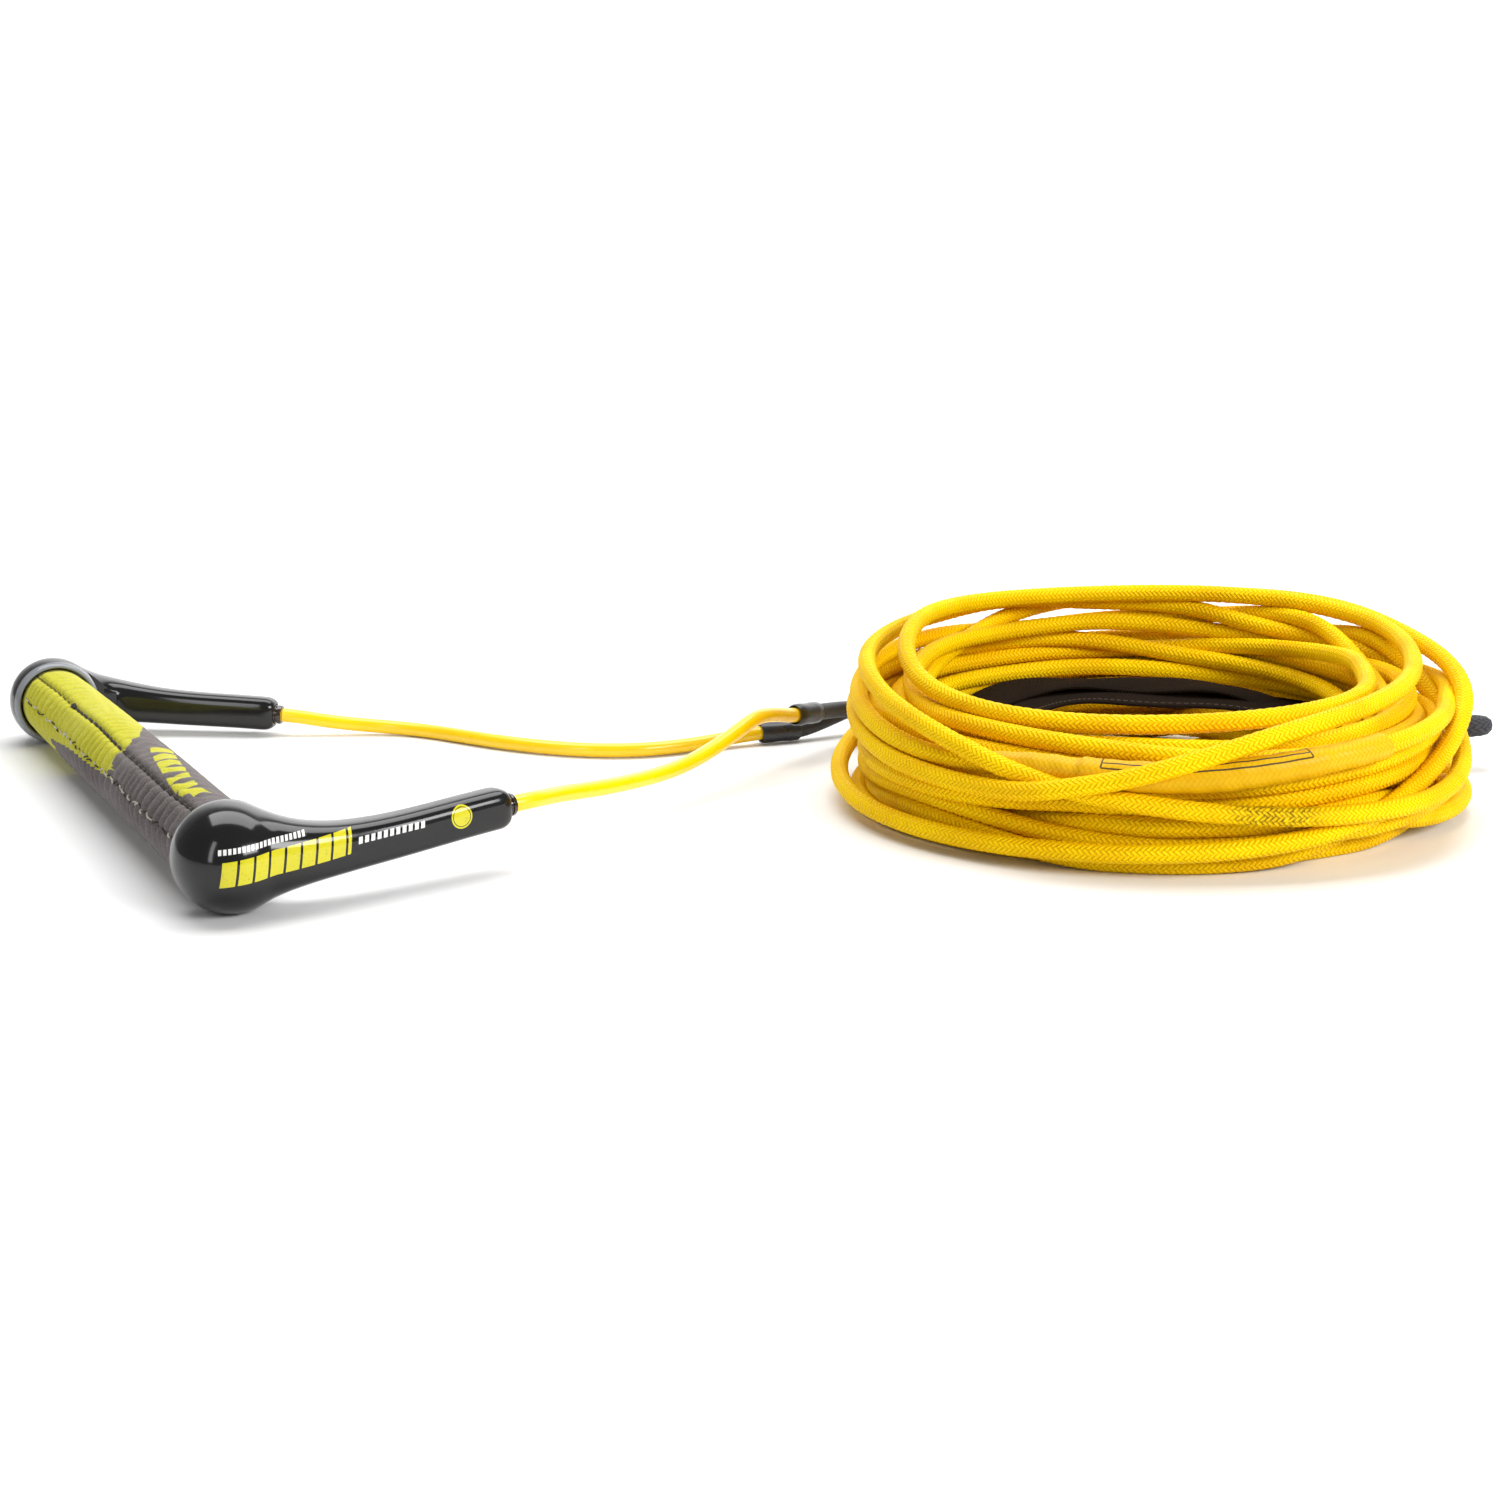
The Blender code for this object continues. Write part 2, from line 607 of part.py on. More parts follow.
def add_mainline():
    yellow = ((0.95, 0.66, 0.0), 0.55)
    black = ((0.02, 0.02, 0.022), 0.8)
    coil = add_turned("mainline_coil", COIL_PROFILE, Matrix.Translation((COIL_X, COIL_Y, 0)), yellow, 56)
    strap = band("rope_keeper_strap", STRAP_ROUTE, STRAP_WIDTH, STRAP_THICKNESS, black)
    room = 4 * FIT_GAP
    cut(coil, band("cut_strap", longer(STRAP_ROUTE), STRAP_WIDTH + room, STRAP_THICKNESS + room, black))
    sleeve_arc = coil_arc(SLEEVE_START, SLEEVE_END, 20)
    look = ((0.9, 0.66, 0.05), 0.25)
    sleeve = swept_cutter("splice_sleeve", sleeve_arc, SPLICE_SLEEVE_RADIUS, look)
    wider = 0.004 / SLEEVE_RING_RADIUS
    groove_arc = coil_arc(SLEEVE_START - wider, SLEEVE_END + wider, 20)
    cut(coil, swept_cutter("cut_sleeve_groove", groove_arc, SPLICE_SLEEVE_RADIUS + 2 * FIT_GAP, look))
    lead = add_tube("mainline_lead", smooth_route(MAINLINE_LEAD_ROUTE, 0.008), MAINLINE_RADIUS, yellow)
    tail = add_tube("mainline_boat_end", smooth_route(BOAT_END_ROUTE, 0.008), MAINLINE_RADIUS, yellow)
    return [coil, strap, sleeve, lead, tail, add_boat_loop()]


def longer(route):
    """The route run on a little at both ends, so that a cutter opens past the piece it makes room for."""
    first, second, before, last = (Vector(route[k]) for k in (0, 1, -2, -1))
    run_on = 0.002
    start = first + (first - second).normalized() * run_on
    end = last + (last - before).normalized() * run_on
    return [tuple(start), *route[1:-1], tuple(end)]


def add_axis(name, place, parent=None):
    axis = bpy.data.objects.new(name, None)
    axis.empty_display_size = 0.03
    bpy.context.scene.collection.objects.link(axis)
    axis.location = place
    if parent:
        hang(axis, parent)
    return axis


def hang(child, parent):
    """Parents the child without moving it."""
    bpy.context.view_layer.update()
    child.parent = parent
    child.matrix_parent_inverse = parent.matrix_world.inverted()


def main():
    for old in list(bpy.data.objects):
        bpy.data.objects.remove(old)
    swing_axis = add_axis("eye_swing_axis", (SWING_AXIS_X, LINK_Y, LINK_Z))
    lift_axis = add_axis("handle_lift_axis", (LIFT_AXIS_X, LINK_Y, LINK_Z), swing_axis)
    add_mainline()
    hang(add_mainline_eye(), swing_axis)
    handle = [*add_bar(), *add_grip(), add_bar_rope(), *add_bridle()]
    for end in SIDE:
        handle.append(add_end_cap(end))
        handle.append(add_strain_relief(end))
    for piece in handle:
        hang(piece, lift_axis)
    bpy.context.view_layer.update()


main()
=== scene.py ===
"""Looks of the tow rope handle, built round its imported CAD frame. Metres, +Z up, the floor at z = 0."""

import math

import bmesh
import bpy
import numpy as np
from mathutils import Matrix, Vector


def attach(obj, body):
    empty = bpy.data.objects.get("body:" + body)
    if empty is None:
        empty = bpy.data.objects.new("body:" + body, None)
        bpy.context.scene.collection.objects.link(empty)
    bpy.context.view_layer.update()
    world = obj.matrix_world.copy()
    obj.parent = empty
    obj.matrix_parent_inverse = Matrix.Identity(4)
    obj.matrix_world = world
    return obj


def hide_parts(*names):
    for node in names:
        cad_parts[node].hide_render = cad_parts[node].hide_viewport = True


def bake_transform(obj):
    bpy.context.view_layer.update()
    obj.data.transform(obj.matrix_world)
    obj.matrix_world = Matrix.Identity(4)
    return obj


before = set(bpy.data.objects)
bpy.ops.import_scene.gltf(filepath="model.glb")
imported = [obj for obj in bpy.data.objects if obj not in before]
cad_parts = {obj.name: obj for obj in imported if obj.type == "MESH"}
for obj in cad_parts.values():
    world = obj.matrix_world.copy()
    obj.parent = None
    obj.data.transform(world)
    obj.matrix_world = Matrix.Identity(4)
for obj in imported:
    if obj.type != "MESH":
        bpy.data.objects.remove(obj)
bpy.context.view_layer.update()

# Camera
CAMERA_PLACE = (-0.2510, -0.9767, 0.2435)
CAMERA_YAW, CAMERA_PITCH = math.radians(27.52), math.radians(12.64)
CAMERA_LENS = 54.1

# Handle, as the CAD has it
BULB_SPACING = 0.345
BULB_RADIUS = 0.0213
BAR_HEIGHT = 0.0206
BAR_X = -0.0483
BULB_SECTION_SHIFT = -0.006
BULB_HALF_WIDTH = 0.024
FLANGE_FACE = -0.016
ARM_LENGTH, ARM_TIP_LENGTH = 0.1155, 0.006
ARM_HALF_HEIGHT = 0.0083
ARM_HALF_WIDTH = 0.0075
ARM_OFFSET = 0.0035
ARM_SAG = 0.0015
TOE_START, TOE_END = 0.014, 0.046
TOE_IN = {"left": math.radians(12), "right": math.radians(33)}
ARM_LIFT = {"left": math.radians(2.3), "right": math.radians(-5.6)}
SIDE = {"left": -1, "right": 1}
RECESS_RADIUS, RECESS_DEPTH = 0.0178, 0.0045
RELIEF_RADIUS, RELIEF_LENGTH, RELIEF_INSET = 0.0048, 0.0075, 0.004
FIT_GAP = 0.0003
COVER_RADIUS, FOAM_RADIUS = 0.0170, 0.0154
GRIP_HALF_LENGTH = 0.1608

# Ropes
BRIDLE_RADIUS = 0.0035
MAINLINE_RADIUS = 0.004
LOOP_RADIUS = 0.004
SLEEVE_RADIUS, SLEEVE_LENGTH = 0.0053, 0.021
LINK_Y, LINK_Z = -0.016, 0.015
EYE_X, EYE_HALF_LENGTH, EYE_HALF_HEIGHT = 0.3325, 0.0185, 0.0105
SWING_AXIS_X = 0.3713
COIL_X, COIL_Y = 0.3695, -0.1778
VIEW_TURN = math.radians(-37.8)  # coil angles are counted from the right, as the camera sees it
BOAT_LOOP_RADIUS = 0.0046
BOAT_LOOP_MIDDLE = (0.5358, -0.1691, 0.0135)
BOAT_LOOP_HEADING = math.radians(93)
BOAT_LOOP_HALF_LENGTH, BOAT_LOOP_HALF_WIDTH, BOAT_LOOP_TILT = 0.042, 0.0135, math.radians(-10)
STRAP_WIDTH, STRAP_THICKNESS = 0.044, 0.0025

LEFT_LEG_ROUTE = [
    (0.0693, -0.1574, 0.0253),
    (0.0764, -0.1557, 0.0255),
    (0.0840, -0.1512, 0.0248),
    (0.0947, -0.1434, 0.0233),
    (0.1186, -0.1296, 0.0203),
    (0.1437, -0.1152, 0.0181),
    (0.1702, -0.1000, 0.0177),
    (0.1982, -0.0840, 0.0219),
    (0.2127, -0.0756, 0.0256),
    (0.2276, -0.0671, 0.0287),
    (0.2390, -0.0606, 0.0276),
    (0.2546, -0.0516, 0.0242),
    (0.26377, -0.04637, 0.02312),
]
RIGHT_LEG_ROUTE = [
    (0.0570, 0.1270, 0.0103),
    (0.0633, 0.1229, 0.0096),
    (0.0750, 0.1168, 0.0076),
    (0.0907, 0.1095, 0.0054),
    (0.1082, 0.0986, 0.0040),
    (0.1353, 0.0564, 0.0038),
    (0.1622, 0.0180, 0.0038),
    (0.1777, 0.0049, 0.0038),
    (0.1953, -0.0031, 0.0038),
    (0.2160, -0.0052, 0.0038),
    (0.2370, -0.0042, 0.0044),
    (0.2612, -0.0043, 0.0057),
    (0.27145, -0.00529, 0.0057),
]
BRIDLE_LOOP_ROUTE = [
    (0.26403, -0.04623, 0.02308),
    (0.2732, -0.0409, 0.0219),
    (0.2860, -0.0335, 0.0203),
    (0.2970, -0.0287, 0.0190),
    (0.3070, -0.0267, 0.0178),
    (0.3165, -0.0265, 0.0168),
    (0.3239, -0.0234, 0.0161),
    (0.3270, -0.0160, 0.0156),
    (0.3239, -0.0086, 0.0150),
    (0.3165, -0.0055, 0.0140),
    (0.3060, -0.0053, 0.0114),
    (0.2940, -0.0062, 0.0082),
    (0.2820, -0.0063, 0.0058),
    (0.27175, -0.00531, 0.0057),
]
MAINLINE_LEAD_ROUTE = [
    (0.3722, -0.0160, 0.0150),
    (0.3860, -0.0166, 0.0146),
    (0.4000, -0.0192, 0.0140),
    (0.4125, -0.0258, 0.0135),
    (0.4192, -0.0335, 0.0132),
    (0.4215, -0.0408, 0.0130),
]
BOAT_END_ROUTE = [
    (0.5331, -0.1178, 0.0060),
    (0.5318, -0.1040, 0.0060),
    (0.5240, -0.0930, 0.0060),
    (0.5140, -0.0893, 0.0060),
    (0.5040, -0.0912, 0.0062),
    (0.4931, -0.0975, 0.0064),
]
STRAP_ROUTE = [
    (0.3180, -0.1180, 0.0300),
    (0.3450, -0.1080, 0.0330),
    (0.3750, -0.1130, 0.0340),
    (0.4050, -0.1330, 0.0340),
    (0.4370, -0.1550, 0.0320),
    (0.4660, -0.1780, 0.0270),
    (0.4900, -0.2040, 0.0200),
]

# The coil's strands, laid clockwise: (angle round from the right, radius, height of the strand's middle).
# A height of 0 lets the strand lie where it falls.
COIL_START = [(92, 0.1250, 0), (74, 0.1005, 0), (54, 0.0945, 0), (20, 0.0980, 0)]
OUTER_TURN = [
    (110, 0.124, 0.064), (80, 0.128, 0.067), (52, 0.131, 0.067), (27, 0.128, 0.059), (6, 0.131, 0.049),
    (352, 0.132, 0.038), (342, 0.132, 0.030), (330, 0.133, 0.020), (310, 0.137, 0.010), (292, 0.142, 0.006),
    (270, 0.145, 0.0042), (240, 0.1455, 0.0042), (212, 0.144, 0.006), (185, 0.140, 0.012),
    (150, 0.134, 0.024), (115, 0.128, 0.038), (80, 0.124, 0.048), (52, 0.122, 0.052),
]
RISING_TURN = [
    (25, 0.121, 0.052), (5, 0.128, 0.036), (350, 0.134, 0.024), (330, 0.141, 0.014), (305, 0.144, 0.012),
    (285, 0.145, 0.016), (265, 0.145, 0.022), (248, 0.143, 0.028), (230, 0.139, 0.037), (212, 0.134, 0.046),
    (195, 0.130, 0.053), (170, 0.124, 0.057), (140, 0.118, 0.059), (110, 0.112, 0.060), (80, 0.110, 0.060),
    (45, 0.112, 0.056),
]
LABEL_TURN = [
    (20, 0.128, 0.044), (350, 0.128, 0.045), (320, 0.134, 0.0455), (300, 0.138, 0.0435), (280, 0.141, 0.040),
    (260, 0.142, 0.0355), (240, 0.141, 0.033), (215, 0.138, 0.036), (185, 0.131, 0.043), (150, 0.122, 0.052),
    (115, 0.115, 0.058), (80, 0.112, 0.061), (50, 0.110, 0.060),
]
RAISED_TURN = [
    (15, 0.092, 0.060), (357, 0.091, 0.060), (335, 0.098, 0.058), (310, 0.103, 0.056), (280, 0.108, 0.054),
    (250, 0.115, 0.052), (222, 0.117, 0.053), (200, 0.114, 0.064), (183, 0.109, 0.073), (165, 0.106, 0.0745),
    (140, 0.104, 0.0735), (110, 0.103, 0.072), (80, 0.106, 0.072), (58, 0.114, 0.070),
]
CROSSING_TURN = [
    (35, 0.120, 0.066), (10, 0.114, 0.061), (345, 0.112, 0.058), (320, 0.119, 0.056), (302, 0.129, 0.054),
    (288, 0.137, 0.048), (275, 0.143, 0.037), (262, 0.1455, 0.030), (246, 0.145, 0.028), (225, 0.142, 0.028),
    (205, 0.137, 0.033), (180, 0.130, 0.040), (150, 0.120, 0.048), (120, 0.110, 0.052),
]
LAST_TURN = [
    (90, 0.104, 0.050), (55, 0.098, 0.046), (25, 0.093, 0.042), (355, 0.087, 0.036), (325, 0.079, 0.028),
    (295, 0.072, 0.018), (268, 0.066, 0.008),
]
# From the last turn across the floor of the hole and out under the pile to the boat end
COIL_END = [
    (240, 0.060, 0.004), (205, 0.048, 0.004), (163, 0.034, 0.004), (110, 0.036, 0.004), (84, 0.062, 0.004),
    (75, 0.090, 0.004), (72, 0.118, 0.004),
]
COIL_SEED = 3
LOW_TURNS, UPPER_TURNS = 5, 12
COIL_SPACING = 0.004
STRAND_SAG = 2.6  # a strand falls by this much, times the square of the distance, from what holds it up
BRAID_SIDES, BRAID_PITCH, BRAID_RELIEF = 12, 0.0023, 0.00011
# The first colour is painted shade in the gaps between the rope's yarns, the second the yarns' own yellow.
ROPE_GAP_SHADE, ROPE_YARN = (0.72, 0.27, 0.0, 1), (1.0, 0.67, 0.0, 1)
LABEL_ANGLES = (241, 313)  # the label sleeve's two ends, round from the right
MARKER_ANGLE, MARKER_HEIGHT, MARKER_LENGTH, MARKER_FADE = 291, 0.024, 0.034, 0.006

# The rope solver that settles the coil
SPEED_KEPT = (0.6, 0.6, 0.85)  # share of a point's last move that it keeps, in x, y and z
CONTACT_REACH = 2.7 * MAINLINE_RADIUS  # pairs of points nearer than this are watched
OBSTACLE_GAP = 1.4 * MAINLINE_RADIUS  # how near a strand's middle comes to the strap's or boat end's points
CROWDING = 0.45  # a point with many contacts moves by less for each
BEND_REACH = 3  # points to each side that a bend is measured over
BEND_SPRING, KINK_SPRING = 0.25, 0.1
LOW_PULL, UPPER_PULL, KEYED_PULL, END_PULL = 0.01, 0.006, 0.03, 0.8  # share of the way back to the plan
WALL_LOW, WALL_HIGH, WALL_STEP = 0.146, 0.1505, 0.018  # the pile's outer wall, wider above this height

# Grip cover, angles in degrees from the bar's top, positive towards the arms
SECOND_SEAM = -73
PRINT_START, PRINT_PITCH, PRINT_LENGTH = -0.1315, 0.0135, 0.0095
PRINT_BLOCKS, PRINT_HALF_ANGLE = 7, 17.0


# ---------------------------------------------------------------- camera, floor and light


def add_camera():
    camera = bpy.data.objects.new("camera", bpy.data.cameras.new("camera"))
    bpy.context.scene.collection.objects.link(camera)
    camera.data.lens = CAMERA_LENS
    camera.data.sensor_width = 36
    camera.data.clip_start = 0.01
    camera.location = CAMERA_PLACE
    camera.rotation_euler = (math.pi / 2 - CAMERA_PITCH, 0, -CAMERA_YAW)
    bpy.context.scene.camera = camera


def add_area_light(name, place, target, size, power):
    light = bpy.data.objects.new(name, bpy.data.lights.new(name, "AREA"))
    bpy.context.scene.collection.objects.link(light)
    light.data.shape = "RECTANGLE"
    light.data.size, light.data.size_y = size
    light.data.energy = power
    light.location = place
    light.rotation_euler = (Vector(target) - Vector(place)).to_track_quat("-Z", "Y").to_euler()


def add_backdrop(look):
    """A pale sheet that lies flat under the object and curves up far behind it."""
    near, far, bend, wall = -4.0, 1.6, 0.8, 3.0
    turn = [math.radians(a) for a in range(6, 91, 6)]
    profile = [(near, 0.0), (far, 0.0)]
    profile += [(far + bend * math.sin(a), bend * (1 - math.cos(a))) for a in turn]
    profile.append((far + bend, wall))
    away = Vector((math.sin(CAMERA_YAW), math.cos(CAMERA_YAW), 0))
    across = Vector((away.y, -away.x, 0))
    start = Vector((CAMERA_PLACE[0], CAMERA_PLACE[1], 0)) + away
    vertices, faces = [], []
    for distance, height in profile:
        for side in (-5, 5):
            vertices.append(start + away * distance + across * side + Vector((0, 0, height)))
    for k in range(len(profile) - 1):
        faces.append((2 * k, 2 * k + 1, 2 * k + 3, 2 * k + 2))
    add_mesh("backdrop", vertices, faces, look)


def add_studio():
    world = bpy.data.worlds.new("studio")
    bpy.context.scene.world = world
    world.use_nodes = True
    sky = world.node_tree.nodes["Background"].inputs
    sky["Color"].default_value = (1, 1, 1, 1)
    sky["Strength"].default_value = 0.22
    middle = (0.2, -0.05, 0.02)
    add_area_light("overhead", (0.35, 0.35, 1.7), middle, (2.2, 1.1), 38)
    add_area_light("side strip", (-1.3, -0.9, 0.7), middle, (0.22, 1.2), 4)
    add_area_light("front fill", (0.9, -1.7, 0.9), (0.4, -0.2, 0.03), (1.2, 0.6), 31)
    add_area_light("backdrop light", (1.2, 1.2, 1.6), (1.9, 2.6, 0.9), (3.0, 1.0), 46)
    add_backdrop(Look("backdrop").finish((0.86, 0.86, 0.86, 1), 0.7))
    bpy.context.scene.view_settings.view_transform = "Standard"


# ---------------------------------------------------------------- materials


class Value:
    """A number or colour that a material works out at each point, with the usual operators."""

    def __init__(self, look, socket):
        self.look, self.socket = look, socket

    def __add__(self, other):
        return self.look.math("ADD", self, other)

    def __sub__(self, other):
        return self.look.math("SUBTRACT", self, other)

    def __rsub__(self, other):
        return self.look.math("SUBTRACT", other, self)

    def __mul__(self, other):
        return self.look.math("MULTIPLY", self, other)

    def __truediv__(self, other):
        return self.look.math("DIVIDE", self, other)

    def __mod__(self, other):
        return self.look.math("FLOORED_MODULO", self, other)

    def __pow__(self, other):
        return self.look.math("POWER", self, other)


class Look:
    """A material's nodes, written as short expressions."""

    def __init__(self, name):
        self.material = bpy.data.materials.new(name)
        self.material.use_nodes = True
        self.tree = self.material.node_tree
        self.shader = self.tree.nodes["Principled BSDF"]

    def node(self, kind, *values, **settings):
        made = self.tree.nodes.new("ShaderNode" + kind)
        for key, value in settings.items():
            setattr(made, key, value)
        for socket, value in zip(made.inputs, values):
            self.feed(socket, value)
        return made

    def feed(self, socket, value):
        if isinstance(value, Value):
            self.tree.links.new(value.socket, socket)
        elif value is not None:
            socket.default_value = value

    def feed_named(self, made, inputs):
        for name, value in inputs.items():
            self.feed(made.inputs[name], value)
        return Value(self, made.outputs[0])

    def math(self, operation, *values):
        return Value(self, self.node("Math", *values, operation=operation).outputs[0])

    def near(self, value, low, high):
        """0 below low, 1 above high, smooth between."""
        made = self.node("MapRange", value, low, high, 0.0, 1.0, interpolation_type="SMOOTHSTEP")
        return Value(self, made.outputs[0])

    def band(self, value, low, high, edge):
        """1 between low and high, with a soft edge on each side."""
        return self.near(value, low - edge, low + edge) * (1.0 - self.near(value, high - edge, high + edge))

    def mix(self, share, first, second):
        made = self.node("Mix", data_type="RGBA")
        for socket, value in ((0, share), (6, first), (7, second)):
            self.feed(made.inputs[socket], value)
        return Value(self, made.outputs[2])

    def noise(self, scale, detail=3.0, roughness=0.55):
        place = Value(self, self.node("TexCoord").outputs["Object"])
        inputs = {"Scale": scale, "Detail": detail, "Roughness": roughness, "Vector": place}
        return self.feed_named(self.node("TexNoise"), inputs)

    def axes_of(self, socket, count=3):
        made = self.node("SeparateXYZ", Value(self, socket))
        return [Value(self, output) for output in made.outputs[:count]]

    def place_axes(self):
        return self.axes_of(self.node("TexCoord").outputs["Object"])

    def rope_uv(self):
        """Round the rope from 0 to 1, and along it in metres."""
        return self.axes_of(self.node("UVMap", uv_map="rope").outputs[0], 2)

    def attribute(self, name):
        return Value(self, self.node("Attribute", attribute_name=name).outputs["Fac"])

    def bump(self, height, distance, strength=1.0, under=None):
        inputs = {"Height": height, "Distance": distance, "Strength": strength, "Normal": under}
        return self.feed_named(self.node("Bump"), inputs)

    def finish(self, colour, roughness, normal=None, **others):
        """Feeds the shader and returns the material. In a name, _ stands for a space."""
        inputs = {"Base Color": colour, "Roughness": roughness, "Normal": normal}
        inputs.update({name.replace("_", " "): value for name, value in others.items()})
        self.feed_named(self.shader, inputs)
        return self.material


def braid(look, strands, pitch):
    """Height of a two-over, two-under braid, from 0 in the gaps to 1 on the yarns."""
    around, along = look.rope_uv()
    turned, run = around * strands, along / pitch
    a, b = turned + run, turned - run
    a_whole, b_whole = look.math("FLOOR", a), look.math("FLOOR", b)

    def yarn(value, crossing):
        """One yarn's height, round across its width and arched along its float."""
        width = look.math("SINE", look.math("FRACT", value) * math.pi)
        arch = look.math("SINE", crossing % 4.0 * (math.pi / 2))
        return width**0.6 * (arch * 0.5 + 0.5)

    a_on_top = look.math("LESS_THAN", (a_whole + b_whole) % 4.0, 2.0)
    return a_on_top * yarn(a, a_whole + b) + (1.0 - a_on_top) * yarn(b, a + b_whole + 2.0)


def rope_look(name, gap, yarn, marker=None):
    """Braided rope, with painted shade down in the gaps between its yarns. marker is the stretch, in metres
    along the rope, of a darker dyed length.
    """
    look = Look(name)
    height = braid(look, BRAID_SIDES, BRAID_PITCH)
    fibre, cloudy = look.noise(2600.0, 2.0), look.noise(38.0, 2.0)
    # Painted shade: the gap colour darkens the rope where the braid sinks between its yarns.
    colour = look.mix(look.near(height, 0.0, 0.55), gap, yarn)
    colour = look.mix(look.near(cloudy, 0.35, 0.75) * 0.30, colour, gap)
    if marker:
        glint = look.near(height, 0.80, 1.0) * look.near(fibre, 0.52, 0.72)
        colour = look.mix(glint * 0.35, colour, (1.0, 0.84, 0.18, 1))
        dyed = look.band(look.rope_uv()[1], *marker, MARKER_FADE)
        worn = look.near(height, 0.25, 0.95) * -0.55 + 0.85
        patchy = look.near(look.noise(420.0), 0.30, 0.60)
        colour = look.mix(dyed * worn * patchy, colour, (0.12, 0.075, 0.006, 1))
    normal = look.bump(fibre * 0.12 + height, 0.00045)
    return look.finish(colour, fibre * 0.2 + 0.42, normal, Specular_IOR_Level=0.06)


def bridle_look():
    look = Look("coated_yellow")
    cloudy, fine = look.noise(25.0, 2.0), look.noise(700.0)
    colour = look.mix(look.near(cloudy, 0.3, 0.7), (0.98, 0.60, 0.0, 1), (1.0, 0.66, 0.0, 1))
    colour = look.mix(look.near(fine, 0.55, 0.8) * 0.2, colour, (0.85, 0.45, 0.0, 1))
    normal = look.bump(fine, 0.00005, 0.5)
    return look.finish(colour, cloudy * 0.1 + 0.22, normal, Coat_Weight=0.25, Coat_Roughness=0.12)


def block_row(look, s, up, start, stop, low, rise, height, pitch, duty):
    """1 on a slanting row of plain blocks."""
    off = look.math("ABSOLUTE", up - (s * rise + (low + height / 2 - rise * start)))
    inside = 1.0 - look.near(off, height / 2 - 0.00008, height / 2 + 0.00008)
    lean = up * -0.18 + s
    step = look.math("FRACT", (lean - start) / pitch)
    edge = 0.00012 / pitch
    block = 1.0 - look.near(step, duty - edge, duty + edge)
    return inside * block * look.band(lean, start, stop, 0.0001)


def add_marks(look, colour, ahead, y, above):
    """Plain blocks, bars and a disc, in yellow and white, along the outer side of the near cap."""
    lift = ARM_LIFT["left"]
    s = above * math.sin(lift) + ahead * math.cos(lift)
    up = ahead * -math.sin(lift) + above * math.cos(lift)
    toe = look.math("MAXIMUM", s - 0.030, 0.0) * 0.21
    outer = look.math("LESS_THAN", y, toe - (BULB_SPACING / 2 + 0.0055))
    blocks = block_row(look, s, up, -0.0085, 0.0425, -0.0054, 0.065, 0.0094, 0.0062, 0.84)
    thin_bars = block_row(look, s, up, -0.0100, 0.0240, 0.0066, 0.040, 0.0020, 0.0017, 0.66)
    arm_bars = block_row(look, s, up, 0.0455, 0.0750, 0.0008, 0.010, 0.0026, 0.0027, 0.62)
    across, rise = s - 0.0910, up - 0.0018
    from_disc = look.math("SQRT", across * across + rise * rise)
    disc = 1.0 - look.near(from_disc, 0.00455, 0.0047)
    ring = look.near(from_disc, 0.0036, 0.0037) * (1.0 - look.near(from_disc, 0.0039, 0.0040))
    worn = look.near(look.noise(900.0), 0.25, 0.45) * 0.25 + 0.75
    yellow = look.math("MAXIMUM", blocks, disc * (1.0 - ring)) * outer * worn
    colour = look.mix(yellow, colour, (0.62, 0.56, 0.02, 1))
    return look.mix(look.math("MAXIMUM", thin_bars, arm_bars) * outer, colour, (0.80, 0.80, 0.78, 1))


def cap_look(name, marked):
    """Gloss black, with a painted highlight: paler grey round the lip at the grip."""
    look = Look(name)
    x, y, z = look.place_axes()
    ahead, above = x - BAR_X, z - BAR_HEIGHT
    cloudy = look.near(look.noise(30.0), 0.3, 0.7)
    colour = look.mix(cloudy, (0.0075, 0.0075, 0.008, 1), (0.010, 0.0095, 0.010, 1))
    # Painted highlight: paler grey over the cap's lip round the grip and a narrow band of the bulb beside it.
    lip_edge = BULB_SPACING / 2 + FLANGE_FACE + 0.0034
    lip = 1.0 - look.near(look.math("ABSOLUTE", y), lip_edge - 0.0006, lip_edge + 0.0006)
    lip = lip * look.math("LESS_THAN", ahead, 0.0235)
    colour = look.mix(lip, colour, (0.23, 0.24, 0.26, 1))
    if marked:
        colour = add_marks(look, colour, ahead, y, above)
    normal = look.bump(look.noise(55.0, 2.0), 0.00012, 0.3)
    return look.finish(colour, look.noise(12.0) * 0.06 + 0.10, normal, IOR=1.46)


def relief_look():
    look = Look("strain_relief")
    swirl = look.near(look.noise(400.0), 0.3, 0.7)
    colour = look.mix(swirl, (0.012, 0.008, 0.006, 1), (0.035, 0.018, 0.009, 1))
    normal = look.bump(look.noise(600.0), 0.0001, 0.4)
    return look.finish(colour, 0.16, normal, Coat_Weight=0.6, Coat_Roughness=0.05)


def sheath_look(name, base, roughness):
    """Black cord or shrink tube: a fine grain and a few soft wrinkles."""
    look = Look(name)
    grain, soft = look.noise(1500.0), look.noise(180.0, 2.0)
    colour = look.mix(soft, (*base, 1), (*[c * 1.9 for c in base], 1))
    return look.finish(colour, soft * 0.15 + roughness, look.bump(grain * 0.25 + soft, 0.0003, 0.5))


